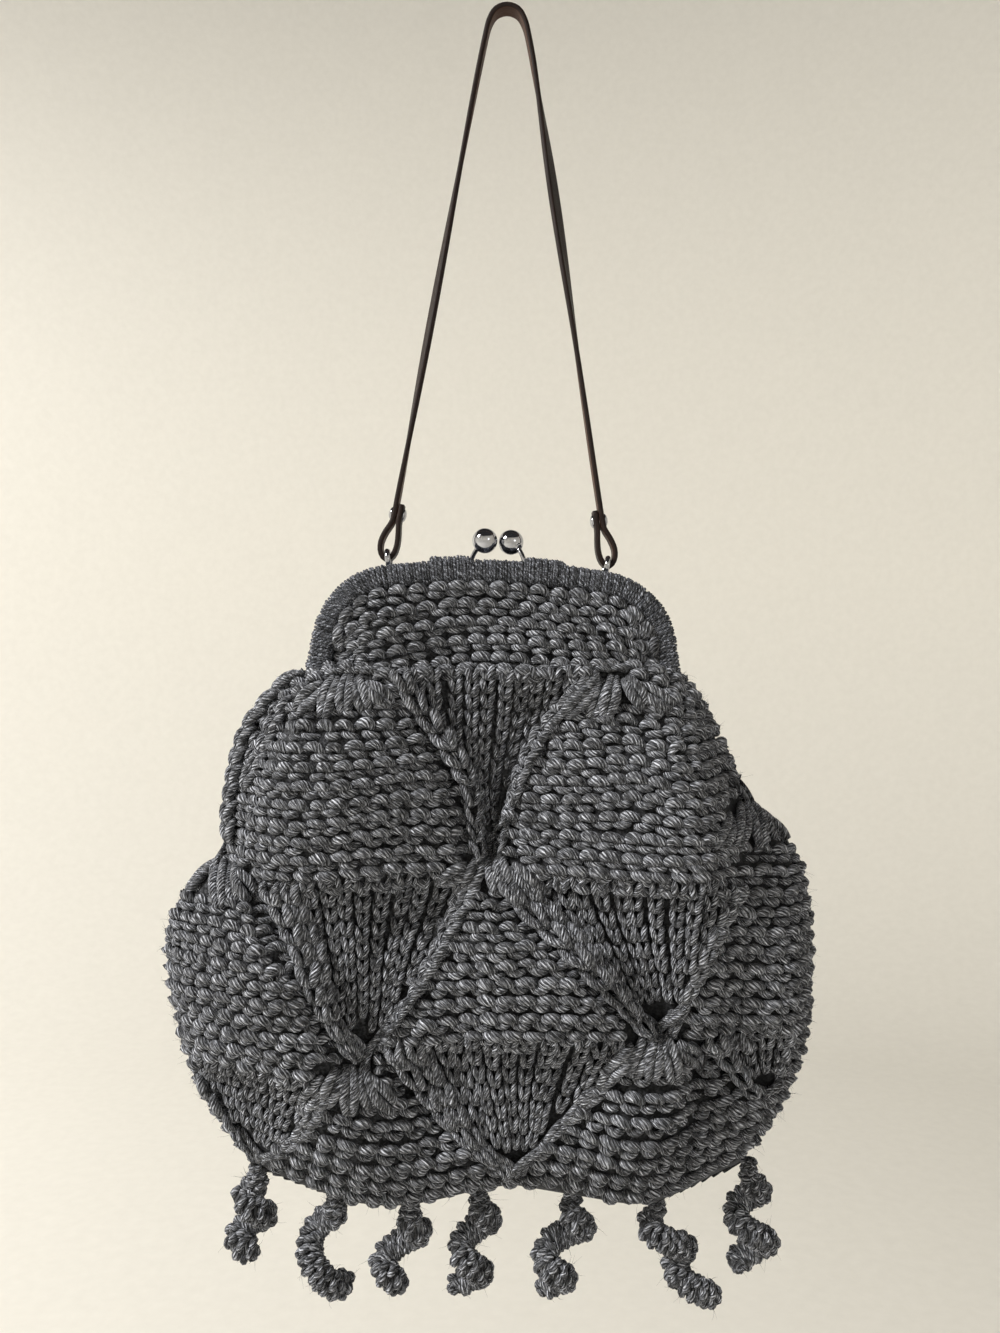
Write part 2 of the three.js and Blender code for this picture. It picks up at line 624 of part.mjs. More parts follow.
function neckPoint(angle, part, inset, group) {
  const half = RIM_HALF_WIDTH - inset;
  const xLocal = half * Math.cos(angle);
  const rim = new THREE.Vector3(xLocal, 0, rimHeight(xLocal)).applyMatrix4(group.matrixWorld);
  const shoulder = bodyPoint(angle, SHOULDER_Z, inset);
  const isFront = Math.sin(angle) >= 0;
  const rimDepth = (RIM_DEPTH - inset) * Math.min(1, 1.6 * Math.abs(Math.sin(angle)));
  rim.y = MIDDLE_Y - (isFront ? 1 : -1) * rimDepth;
  return rim.lerp(shoulder, part);
}

function ringOf(count, pointAt) {
  return Array.from({ length: count }, (_, i) => pointAt((i / count) * 2 * Math.PI));
}

function pouchShell(group) {
  const lowest = SECTIONS.at(-1).z;
  const outerRings = [];
  for (let r = 0; r < NECK_ROWS; r++) {
    outerRings.push(ringOf(AROUND, (a) => neckPoint(a, r / NECK_ROWS, 0, group)));
  }
  for (let r = 0; r <= BODY_ROWS; r++) {
    const z = lerp(SHOULDER_Z, lowest, r / BODY_ROWS);
    outerRings.push(ringOf(AROUND, (a) => bodyPoint(a, z, 0)));
  }
  const innerRings = [];
  const lift = new THREE.Vector3(0, 0, MOUTH_REACH);
  innerRings.push(ringOf(INNER_AROUND, (a) => neckPoint(a, 0, WALL, group).add(lift)));
  for (let r = 0; r < NECK_ROWS; r++) {
    innerRings.push(ringOf(INNER_AROUND, (a) => neckPoint(a, r / NECK_ROWS, WALL, group)));
  }
  for (let r = 0; r <= INNER_BODY_ROWS; r++) {
    const z = lerp(SHOULDER_Z, lowest, r / BODY_ROWS);
    innerRings.push(ringOf(INNER_AROUND, (a) => bodyPoint(a, z, WALL)));
  }
  return loft(outerRings).subtract(loft(innerRings));
}

// Each shoulder is split at the side, so that the leg of the frame and its hinge have room,
// and the mouth runs down between the two walls of the neck as far as the hinge
function sideCut(from, to, depth, lowest) {
  return box(
    new THREE.Vector3(Math.min(from, to), MIDDLE_Y - depth / 2, lowest),
    new THREE.Vector3(Math.max(from, to), MIDDLE_Y + depth / 2, FRAME_Z),
  );
}

function shoulderSplit(side, group) {
  const leg = archPoint(side * HALF_ARCH);
  const place = new THREE.Vector3(leg.x, MIDDLE_Y, leg.z).applyMatrix4(group.matrixWorld);
  const legInside = place.x - side * (WRAP_HEIGHT / 2 + LEG_ROOM);
  const outside = place.x + side * (WRAP_HEIGHT / 2 + LEG_ROOM);
  const slitInside = FRAME_X + side * SIDE_SLIT_X;
  const legRoom = sideCut(legInside, outside, LEG_SLOT_DEPTH, LEG_SLOT_Z);
  return legRoom.add(sideCut(slitInside, outside, SIDE_SLIT_DEPTH, LEG_SLOT_Z));
}

// Tassels: a fat cord on a loose corkscrew, thin where it is sewn on and rounded at its end
class CurlCurve extends THREE.Curve {
  constructor(row) {
    super();
    this.row = row;
    this.start = THREE.MathUtils.degToRad(row.phase);
    const seam = [-CURL_RADIUS, 0, CURL_RADIUS].map((reach) => seamHeight(row.x + reach));
    this.top = Math.min(...seam) - CURL_SEAM_GAP;
  }

  getPoint(t, target = new THREE.Vector3()) {
    const { x, drop, lean, coil, turns, hook } = this.row;
    const angle = this.start + 2 * Math.PI * turns * t;
    const reach = coil * smoothstep(t, 0.03, 0.24);
    return target.set(
      x + lean * smoothstep(t, 0.06, 1) + reach * Math.sin(angle),
      MIDDLE_Y + 0.8 * reach * Math.cos(angle),
      this.top - drop * t + hook * smoothstep(t, 0.7, 1),
    );
  }
}

function curlSolid(row) {
  const curve = new CurlCurve(row);
  const frames = curve.computeFrenetFrames(CURL_STEPS, false);
  const rings = Array.from({ length: CURL_STEPS + 1 }, (_, s) => {
    const t = s / CURL_STEPS;
    const taper = lerp(CURL_START, 1, smoothstep(t, 0, 0.15)) * Math.sqrt(1 - 0.94 * smoothstep(t, 0.86, 1));
    const centre = curve.getPointAt(t);
    return Array.from({ length: CURL_SIDES }, (_, i) => {
      const angle = (i / CURL_SIDES) * 2 * Math.PI;
      return centre.clone()
        .addScaledVector(frames.normals[s], CURL_RADIUS * taper * Math.cos(angle))
        .addScaledVector(frames.binormals[s], CURL_RADIUS * taper * Math.sin(angle));
    });
  });
  return loft(rings);
}

const bag = new THREE.Group();
const purseFrame = frameGroup();
bag.add(purseFrame);

const pouch = pouchShell(purseFrame)
  .subtract(shoulderSplit(-1, purseFrame))
  .subtract(shoulderSplit(1, purseFrame));
bag.add(named("bag_body", pouch, wool()));

const strap = strapSolid(purseFrame)
  .subtract(rivetHole(-1, purseFrame))
  .subtract(rivetHole(1, purseFrame));
bag.add(named("strap", strap, leather()));
bag.add(named("strap_rivet_left", strapRivet(-1, purseFrame), chrome()));
bag.add(named("strap_rivet_right", strapRivet(1, purseFrame), chrome()));

CURLS.forEach((row, i) => {
  bag.add(named(`curl_${i + 1}`, curlSolid(row), wool()));
});

export default bag;
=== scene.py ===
# Kiss lock bag: hand-knitted wool, wound rails, leather strap and studio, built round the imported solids.
# Lengths are in millimetres until a mesh is made. Front is towards -Y.
import math
from collections import namedtuple

import bpy
import numpy as np
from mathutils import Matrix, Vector


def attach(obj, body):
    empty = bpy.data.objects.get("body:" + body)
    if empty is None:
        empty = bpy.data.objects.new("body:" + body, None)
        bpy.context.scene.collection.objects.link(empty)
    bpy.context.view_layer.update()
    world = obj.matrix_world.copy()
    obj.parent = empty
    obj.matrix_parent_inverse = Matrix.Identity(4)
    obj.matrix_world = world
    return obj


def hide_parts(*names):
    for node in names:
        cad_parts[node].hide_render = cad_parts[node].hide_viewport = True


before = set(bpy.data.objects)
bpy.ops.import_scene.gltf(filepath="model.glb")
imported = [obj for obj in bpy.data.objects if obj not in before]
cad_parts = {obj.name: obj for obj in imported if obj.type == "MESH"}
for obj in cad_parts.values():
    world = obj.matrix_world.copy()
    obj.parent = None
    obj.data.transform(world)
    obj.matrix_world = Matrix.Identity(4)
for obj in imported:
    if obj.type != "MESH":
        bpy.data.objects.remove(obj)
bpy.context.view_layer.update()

MM = 0.001
RNG = np.random.default_rng(11)

# Purse frame, as in the solids
FRAME_X, FRAME_Z, FRAME_ROLL = -4.8, -269.9, math.radians(1.8)
BACK_Y, FRONT_Y = 0.0, -9.6
MIDDLE_Y = (BACK_Y + FRONT_Y) / 2
CROWN_RADIUS, CROWN_ANGLE = 350.0, math.radians(8.6)
CORNER_RADIUS, LEG_ANGLE, LEG_LENGTH = 33.0, math.radians(80), 10.0
CROWN_RUN = CROWN_RADIUS * CROWN_ANGLE
CORNER_RUN = CORNER_RADIUS * (LEG_ANGLE - CROWN_ANGLE)
HALF_ARCH = CROWN_RUN + CORNER_RUN + LEG_LENGTH
CORNER_X = (CROWN_RADIUS - CORNER_RADIUS) * math.sin(CROWN_ANGLE)
CORNER_Z = (CROWN_RADIUS - CORNER_RADIUS) * math.cos(CROWN_ANGLE) - CROWN_RADIUS
RAIL_HEIGHT, RAIL_DEPTH, RAIL_CORNER = 8.0, 5.0, 1.0
WRAP_HEIGHT, WRAP_DEPTH, WRAP_CORNER, WRAP_END = 11.6, 8.6, 3.8, 8.0
BALL_RADIUS, BALL_X, BALL_HEIGHT, BALL_STAGGER = 6.0, 6.2, 14.9, 1.5
BALL_ARC = math.radians(19), math.pi - 0.02
# Collar under a ball: height in ball radii, radius
COLLAR = ((-1.06, 1.25), (-1.06, 1.7), (-0.98, 1.95))
STEM_RADIUS, STEM_FOOT, STEM_BEND = 1.15, (13.4, 2.0), (12.4, 10.5)
RING_X, RING_WIDTH, RING_HEIGHT, RING_WIRE, RING_SINK, RING_SQUARE = 50.8, 15.6, 11.0, 2.6, 0.8, 4
TAB_RADIUS, TAB_THICKNESS, TAB_OFFSET, TAB_DROP, TAB_BORE, TAB_EDGE = 4.0, 1.8, 1.4, 5.6, 1.9, 0.3
# Post of a tab: height, share of the way from the rail to the middle
POST_RADIUS, POST_LINE = 0.9, ((1.5, 0), (-2.5, 0), (-TAB_DROP, 0.55))

# Strap and rivets, as in the solids, with higher domes
STRAP_WIDTH, STRAP_THICKNESS, STRAP_EDGE = 8.6, 2.4, 0.55
STRAP_LOOP_RADIUS, STRAP_TIP, STRAP_OVERLAP, STRAP_PINCH = 3.9, 23.0, 2.75, 0.05
STRAP_TWISTS, STRAP_SKEWS, STRAP_STEPS = np.radians((20, 30)), np.array((0.76, 1.73)), 320
# Lengths that stay untwisted at each fold and beside the bend
FOLD_RUN, BEND_RUN = 62, 26
HOOK_BEND_WIDTH, HOOK_BEND_DROP = 11.0, 16.0
HOOK_BEND_RADIUS, HOOK_BEND_ANGLES = 8.5, np.radians((-75, -38, 0, 38, 75))
RIVET_HEIGHT, RIVET_SHANK, RIVET_HEAD, RIVET_DOME, RIVET_GAP = 18.3, 1.4, 3.1, 1.485, 0.2

# Pouch: as the solid, but with its shoulders, bottom and fans drawn closer to the photo
RIM_HALF_WIDTH, RIM_GAP, RIM_DEPTH, NECK_TUCK, NECK_ROUND = 74.5, 0.7, 9.1, 1.5, 4
SHOULDER_Z, LOWEST_Z, TOP_ZONE_Z = -312.0, -554.0, -345.0
BACK_RELIEF, SCALE_SHARE, EDGE_LEAN, THINNEST = 0.8, 0.65, 0.6, 0.6
# z, left, right, front, back
SECTIONS = np.array([
    (-312, -81, 71, 17, 15),
    (-316, -95.5, 81, 21, 18),
    (-330, -112.5, 92.5, 24, 20),
    (-349, -125, 103, 24, 20),
    (-384, -132, 118, 24, 20),
    (-401, -133, 137, 24, 20),
    (-427, -157, 143.5, 25, 21),
    (-449, -162, 144.5, 26, 22),
    (-491, -155, 142, 25, 21),
    (-519, -146, 134, 21, 18),
    (-537, -135, 125, 18, 13),
    (-554, -122, 113, 9.5, 5),
], float)
SEAM_END, SEAM_SAG, SEAM_MIDDLE, SEAM_HALF, SEAM_START_Z = -549.0, 10.5, -4.5, 119.5, -470.0
# x, half width, drop
SEAM_LOBES = ((-60, 68, 11.5), (63, 48, 11.5))
Scale = namedtuple("Scale", "knot_x knot_z ledge_x ledge_z half puff")
SCALES = [Scale(*row) for row in (
    (-74, -322, -70, -411, 60, 11),
    (49, -323, 53, -411, 61, 11),
    (-136, -409, -124, -500, 58, 10),
    (-8, -405, 2, -484, 66, 12),
    (115, -382, 124, -478, 54, 10),
    (-72, -497, -58, -585, 58, 10),
    (67, -484, 58, -585, 48, 10),
    (104, -486, 108, -570, 22, 6),
)]
SCALE_NECK, SCALE_SPREAD, SCALE_DOME, SCALE_RISE, SCALE_FALL = 0.3, 0.7, 0.6, (-0.02, 0.45), (0.93, 1.09)
# Values for a large and for a small scale
SMALL_HALF, KNOT_DIPS, KNOT_PULLS, GATHER_SHARES = 30, (5.0, 2.5), (3.0, 1.0), (1.0, 0.55)
KNOT_WIDE, KNOT_HIGH, KNOT_ABOVE = 8, 5, 3
# deepest: the place of the deepest part across the fan, from -1 to 1
Fan = namedtuple("Fan", "top_x top_z point_x point_z half depth taper deepest")
FANS = [Fan(*row) for row in (
    (-5.5, -320, -9, -398, 39, 14, 1.8, 0.5),
    (-134, -322, -138, -404, 30, 5, 1.3, 0.0),
    (122, -322, 116, -380, 26, 5, 1.3, 0.0),
    (-60.5, -416, -65, -489, 41, 10, 0.95, 0.8),
    (53.5, -416, 69.5, -480, 48, 9, 1.15, -0.3),
    (1, -488, 3.5, -540, 50, 7, 1.0, 0.2),
    (-117, -504, -115, -544, 31, 6, 1.0, -0.6),
    (115, -486, 121, -516, 16, 4, 1.0, 0.0),
)]
FAN_POINT_HALF, FAN_SINK, FAN_TROUGH, FAN_RISE, FAN_FALL = 5.0, 0.8, 0.8, (-0.06, 0.22), (1, 1.12)
CREASE_PLACE, CREASE_DEPTHS, CREASE_WIDTH = 4.5, (6.5, 3.0), 4.5
CREASE_RISE, CREASE_FALL = (0.02, 0.25), (0.95, 1.1)
# Folds, from top to foot: x, z, x, z, depth (negative stands out), width
FOLDS = (
    (87, -490, 83, -552, 9, 5),
    (53, -334, 62, -404, -3.5, 7),
    (-84, -332, -92, -372, 3, 6),
    (-62, -512, -58, -548, -2.5, 8),
    (-118, -410, -101, -446, 7, 5),
)
FOLD_END, RIDGE_FOLD = 6, FOLDS[1]

# Soft lobes and hollows of the filled bag: x, z, height, half width, half height
LOBES = (
    (-92, -365, 11, 34, 46),
    (-24, -316, -9, 20, 20),
    (-66, -316, 5, 18, 14),
    (44, -314, 5, 22, 14),
    (12, -372, -8, 34, 42),
    (82, -372, 14, 25, 50),
    (110, -390, -3, 13, 40),
    (-104, -454, 9, 30, 45),
    (-38, -428, -7, 18, 24),
    (-20, -474, -8, 20, 26),
    (-6, -450, 3, 12, 30),
    (82, -434, 12, 32, 42),
    (102, -466, -4, 12, 34),
    (138, -462, 11, 20, 46),
    (-82, -528, 12, 30, 30),
    (-40, -514, -5, 18, 26),
    (68, -524, 12, 23, 34),
    (38, -446, 6, 18, 32),
    (-70, -450, 4, 12, 26),
)

# Tassels, as in the solids: x, drop, lean, coil radius, turns, starting phase, turn-up of the end
CURLS = (
    (-119, 34, -4, 5.4, -1.8, 50, 0),
    (-82, 48, -7, 10, -0.9, 20, 10),
    (-46, 35, -10, 5.8, -1.4, -120, 0),
    (-13.5, 49, -6, 6, -1.85, 223, 3),
    (31, 47, -12, 6.8, -1.9, -76, 0),
    (71, 42, 20, 6.2, -1.8, 10, 0),
    (115, 46, 2, 6.8, -1.8, 186, 0),
)
CURL_RADIUS, CURL_START, CURL_SEAM_GAP, CURL_SEWN, CURL_FLAT = 6.8, 0.65, 3.2, 7.0, 0.8
CURL_BUMPS, CURL_PITCH, CURL_BUMP_RADIUS, CURL_BUMP_TURN, CURL_CORE = 6, 3.5, 1.9, 0.58, 4.6
CURL_BUMP_SINK, CURL_BUMP_DIP, CURL_MARGINS, CURL_HAIR_ROOT = 1.7, 1.7, (1.2, 0.5), 1.4

# Garter stitch. Bumps of the upper and lower half of a ridge: place in it, radius, half length, arch, lift
RIDGE_STEP, STITCH_STEP, FIRST_RIDGE = 8.2, 9.5, 0.6
BUMPS = ((0.0, 2.45, 4.7, 1.7, -0.7), (3.1, 1.95, 4.7, -1.4, -1.6))
BUMP_DIP, BUMP_ARCH, BUMP_TILT, BUMP_HAIR_ROOT = 4.4, 0.4, -0.4, 1.96
# Waves of the rows: across, down, height
WAVES = ((0.031, 0.021, 1.3), (-0.047, 0.033, 1.0), (0.083, -0.029, 0.6))
RIDGE_PULL, RIDGE_ASIDE, RIDGE_WIDTH, RIDGE_REACH = 4.0, 4, 16, 30
PULL_WIDE, PULL_HIGH, PULL_BELOW = 20, 16, 12

# Fans: V stitches, edge chains (place across, lift; the third on wide fans only) and crossing strands
VEE_RADIUS, VEE_SPREAD, VEE_LIFT, VEE_WIDTH, VEE_HEIGHT, VEE_START = 1.7, 3.0, -1.5, 7.4, 7.0, 8.0
VEE_OVERLAP, VEE_ARCH, VEE_DIP, VEE_CLOSE, VEE_THIN = 1.25, 1.3, 2.8, 0.86, 0.4
FAN_DRAW, FAN_COLUMN_END, FAN_COLUMN_GAP, FAN_MARGINS = 0.6, 0.92, 1.5, (0.95, 0.82)
FAN_SAG, FAN_RIPPLE, FAN_RIPPLE_RUN, FAN_REACH = 0.07, 0.025, 7, (-0.04, 1.03)
COLUMN_SWAY, COLUMN_SWAY_RUN, EDGE_SWAY, EDGE_SWAY_RUN = 0.8, 11, 1.1, 10
EDGE_RADIUS, EDGE_SPREAD, EDGE_HEIGHT, EDGE_OVERLAP, EDGE_THIN = 2.3, 3.4, 8.6, 1.3, 0.6
EDGE_CHAINS, EDGE_START, EDGE_FOOT, WIDE_FAN = ((-0.98, 3.2), (0.96, 0.0), (-0.8, 1.6)), -4, 3, 40
CROSS_RADIUS, CROSS_APART, CROSS_START, CROSS_RUN, CROSS_ENDS = 1.35, 1.1, 0.8, 0.3, (0.95, -0.1)
CROSS_LIFT, CROSS_ARCH, CROSS_OVER = -0.6, 1.6, 0.5
SIDE_TOP_Z, SIDE_FOOT_Z, SIDE_ANGLE, SIDE_SPREAD, SIDE_LIFT = -317.0, -388.0, math.pi - 0.16, 0.12, 1.5
SIDE_OVERLAP, SIDE_ARCH, SIDE_DIP, SIDE_CLOSE = 1.4, 1.2, 2.0, 0.78
FACING_SIDE, FACING_MARGIN = 0.34, 0.06

# Gathers, wall, seam, yarn, hairs and winding
GATHER_LEAVES, GATHER_LENGTH, GATHER_RADIUS, GATHER_FOOT = 5, 18.0, 2.4, 9.5
GATHER_SPREAD, GATHER_CROWN, GATHER_OPEN, GATHER_LIFT = math.radians(44), 4.0, (0.7, 1.6), (-2.8, 3.6)
GATHER_ROOM, GATHER_HIGH, GATHER_LOW = 7.5, 0.55, 0.4
BACKING_INSET, LINING_INSET, LINING_RELIEF, WALL_SIDES, WALL_STEP = 3.7, 6.0, 0.7, 96, 2.5
SEAM_SPAN, SEAM_STEP, SEAM_REACH, SEAM_LEAN, SEAM_CORD = (-117, 110), 5.2, 4.4, 2.2, 2.0
YARN_TWIST, END_SHADE = -2 * math.pi / 11, 0.5
HAIR_RADIUS, HAIR_LENGTHS, HAIR_LEAN, HAIR_CURL = 0.08, (2.0, 4.2), 0.65, 0.45
FUZZ_HAIRS, CURL_HAIRS = 1500, 80
WINDING_PITCH, WINDING_RADIUS, WINDING_TWIST, WINDING_POINTS = 1.25, 0.74, 2 * math.pi / 5, 25
WINDING_CORE, BUNDLE_RISE, BUNDLE_FALL, BUNDLE_HEIGHT = 1.2, (10.5, 14.5), (30, 32.5), 1.9

# Directions that lie along no piece, to start a ring from
HAIR_SIDE, LATHE_SIDE = (0.36, 0.48, 0.8), (0.31, 0.77, 0.55)

# Studio, lights and camera
FLOOR_Z, FLOOR_FLAT, FLOOR_BEND, FLOOR_TOP, FLOOR_SIDES = -1000.0, 1500.0, 900.0, 2600.0, 96
CAMERA_PLACE, CAMERA_VIEW, SENSOR = (-0.00336, -0.520, -0.3144), math.radians(63.2), 24.0
BAG_MIDDLE, WALL_MIDDLE = (0.0, 0.0, -0.40), (-1.2, 2.4, -0.3)


# Numbers
def smoothstep(x, low, high):
    t = np.clip((x - low) / (high - low), 0, 1)
    return t * t * (3 - 2 * t)


def lerp(a, b, t):
    return a + (b - a) * t


def window(t, rise, fall):
    """1 between two ranges, rising over the first and falling over the second."""
    return smoothstep(t, *rise) * (1 - smoothstep(t, *fall))


def bell(*offsets):
    """1 in the middle, falling off with each offset."""
    return np.exp(-sum(offset ** 2 for offset in offsets))


def spindle(steps, cut, power):
    """Thickness along a strand from -1 to 1, cut down towards its ends."""
    return 1 - cut * np.abs(steps) ** power


def arched(steps, rise, dip):
    """Height along a stitch from 0 to 1, with its ends tucked in."""
    return rise * np.sin(math.pi * steps) - dip * (2 * steps - 1) ** 4


def even_turns(count):
    return np.arange(count) / count * 2 * math.pi


def unit(v):
    return v / np.maximum(np.linalg.norm(v, axis=-1, keepdims=True), 1e-9)


def lengths(points):
    steps = np.linalg.norm(np.diff(points, axis=-2), axis=-1)
    return np.concatenate([np.zeros_like(steps[..., :1]), np.cumsum(steps, axis=-1)], axis=-1)


def read_line(line, run, at):
    """Points of a line at given lengths along it."""
    return np.stack([np.interp(at, run, values) for values in line.T], axis=-1)


# Shape of the pouch
def read_sections(z):
    """Left, right, front and back on a smooth curve through SECTIONS."""
    heights, values = SECTIONS[:, 0], SECTIONS[:, 1:]
    last = len(heights) - 1
    row = np.arange(last + 1)
    before, after = np.maximum(row - 1, 0), np.minimum(row + 1, last)
    slopes = (values[after] - values[before]) / (heights[after] - heights[before])[:, None]
    i = np.clip(np.searchsorted(-heights, -z, side="right") - 1, 0, last - 1)
    span = (heights[i + 1] - heights[i])[..., None]
    t = np.clip((z - heights[i])[..., None] / span, 0, 1)
    rise = values[i + 1] - values[i]
    bend_in, bend_out = slopes[i] * span - rise, rise - slopes[i + 1] * span
    return values[i] + t * rise + t * (1 - t) * ((1 - t) * bend_in + t * bend_out)


def across_share(x, z):
    """Place across the pouch, from -1 at its left edge to 1 at its right."""
    left, right, _, _ = np.moveaxis(read_sections(z), -1, 0)
    return (x - (left + right) / 2) / ((right - left) / 2)


def by_size(scale, values):
    return values[scale.half < SMALL_HALF]


def scale_relief(x, z):
    lift = np.zeros_like(x)
    for scale in SCALES:
        t = (scale.knot_z - z) / (scale.knot_z - scale.ledge_z)
        half = scale.half * lerp(SCALE_NECK, 1, smoothstep(t, 0, SCALE_SPREAD))
        across = (x - lerp(scale.knot_x, scale.ledge_x, np.clip(t, 0, 1))) / half
        dome = np.maximum(1 - across ** 2, 0) ** SCALE_DOME
        lift = np.maximum(lift, scale.puff * dome * window(t, SCALE_RISE, SCALE_FALL))
    return lift


def fan_axis(fan, t):
    """Middle and half width of a fan, t running from 0 at its top to 1 at its point."""
    held = np.clip(t, 0, 1)
    return lerp(fan.top_x, fan.point_x, held), fan.half * (1 - held) ** fan.taper + FAN_POINT_HALF


def fan_place(x, z, fan):
    t = (fan.top_z - z) / (fan.top_z - fan.point_z)
    middle, half = fan_axis(fan, t)
    return t, (x - middle) / half, half


def fan_relief(x, z):
    dip = np.zeros_like(x)
    for fan in FANS:
        t, across, _ = fan_place(x, z, fan)
        aside = (across - fan.deepest) / np.where(across < fan.deepest, 1 + fan.deepest, 1 - fan.deepest)
        trough = np.maximum(1 - aside ** 2, 0) ** FAN_TROUGH
        dip = np.maximum(dip, FAN_SINK * fan.depth * trough * window(t, FAN_RISE, FAN_FALL))
    return dip


def lobe_relief(x, z):
    return sum(height * bell((x - lobe_x) / wide, (z - lobe_z) / high)
               for lobe_x, lobe_z, height, wide, high in LOBES)


def crease_relief(x, z):
    """Grooves of the drawn-in knit: along the fan edges, round the knots and along a few folds."""
    dip = np.zeros_like(x)
    for fan in FANS:
        t, across, half = fan_place(x, z, fan)
        away = (np.abs(across) - 1) * half - CREASE_PLACE
        depth = np.where(across < 0, *CREASE_DEPTHS) * window(t, CREASE_RISE, CREASE_FALL)
        dip = np.maximum(dip, depth * bell(away / CREASE_WIDTH))
    for scale in SCALES:
        near = bell((x - scale.knot_x) / KNOT_WIDE, (z - scale.knot_z - KNOT_ABOVE) / KNOT_HIGH)
        dip = np.maximum(dip, by_size(scale, KNOT_DIPS) * near)
    for top_x, top_z, foot_x, foot_z, depth, width in FOLDS:
        t = np.clip((top_z - z) / (top_z - foot_z), 0, 1)
        reach = np.maximum(np.maximum(z - top_z, foot_z - z), 0)
        groove = depth * bell((x - lerp(top_x, foot_x, t)) / width, reach / FOLD_END)
        dip = dip + groove if depth < 0 else np.maximum(dip, groove)
    return dip


def seam_height(x):
    u = np.clip((x - SEAM_MIDDLE) / SEAM_HALF, -1, 1)
    height = SEAM_END - SEAM_SAG * np.sqrt(1 - u * u)
    for lobe_x, half, drop in SEAM_LOBES:
        height = height - drop * np.cos(np.clip((x - lobe_x) / half, -1, 1) * math.pi / 2) ** 2
    return height


def body_point(a, z, side, inset=0.0, relief_share=1.0):
    """Points of the pouch: a turns from 0 at its right edge to pi at its left, side is 1 for its front."""
    a, z = np.broadcast_arrays(a, z)
    left, right, front, back = np.moveaxis(read_sections(z), -1, 0)
    left, right = left + inset, right - inset
    lean = np.abs(np.sin(a))
    x = (left + right) / 2 + (right - left) / 2 * np.cos(a)
    drawn = SCALE_SHARE * scale_relief(x, z) + lobe_relief(x, z) - fan_relief(x, z) - crease_relief(x, z)
    relief = drawn * smoothstep(lean, 0, EDGE_LEAN) * relief_share
    settle = smoothstep(-z, -SEAM_START_Z, -LOWEST_Z)
    depth = np.maximum((front if side > 0 else back) - inset, THINNEST) * lean
    stand = depth + relief * (1 - settle ** 2) * (1 if side > 0 else BACK_RELIEF)
    return np.stack([x, MIDDLE_Y - side * stand, z + settle * (seam_height(x) - LOWEST_Z)], axis=-1)


def frame_to_world(x, y, z):
    c, s = math.cos(FRAME_ROLL), math.sin(FRAME_ROLL)
    return np.stack(np.broadcast_arrays(FRAME_X + x * c + z * s, y, FRAME_Z - x * s + z * c), axis=-1)


def arch_point(length, offset=0.0):
    """Place on a rail's middle line, moved out by offset, and the turn there, in the frame's own axes."""
    length, offset = np.broadcast_arrays(length, offset)
    far, side = np.abs(length), np.where(length < 0, -1.0, 1.0)
    on_crown = far <= CROWN_RUN
    bent = np.minimum((far - CROWN_RUN) / CORNER_RADIUS + CROWN_ANGLE, LEG_ANGLE)
    angle = np.where(on_crown, far / CROWN_RADIUS, bent)
    radius = np.where(on_crown, CROWN_RADIUS, CORNER_RADIUS) + offset
    leg = np.maximum(far - CROWN_RUN - CORNER_RUN, 0)
    centre_x, centre_z = np.where(on_crown, 0, CORNER_X), np.where(on_crown, -CROWN_RADIUS, CORNER_Z)
    x = side * (centre_x + radius * np.sin(angle) + leg * np.cos(angle))
    return x, centre_z + radius * np.cos(angle) - leg * np.sin(angle), side * angle


def rim_height(x):
    offset = -(WRAP_HEIGHT / 2 + RIM_GAP)
    on_crown = np.abs(x) < (CROWN_RADIUS + offset) * math.sin(CROWN_ANGLE)
    radius = np.where(on_crown, CROWN_RADIUS, CORNER_RADIUS) + offset
    across = np.where(on_crown, x, np.abs(x) - CORNER_X)
    low = np.where(on_crown, -CROWN_RADIUS, CORNER_Z)
    return low + np.sqrt(np.maximum(radius ** 2 - across ** 2, 0))


def neck_point(a, part, side, inset=0.0, relief_share=1.0):
    """Points of the neck, part running from 0 at the rim to 1 at the shoulders."""
    a, part = np.broadcast_arrays(a, part)
    x = (RIM_HALF_WIDTH + NECK_TUCK - inset) * np.cos(a)
    depth = (RIM_DEPTH - inset) * np.minimum(1, NECK_ROUND * np.abs(np.sin(a)))
    rim = frame_to_world(x, MIDDLE_Y - side * depth, rim_height(x))
    shoulder = body_point(a, SHOULDER_Z, side, inset, relief_share)
    return lerp(rim, shoulder, part[..., None])


# The outer face of one side of the pouch as a fine grid: angle round the side, and rows down from the rim
GRID_ANGLES, GRID_STEP, GRID_TOP = 720, 0.6, 40


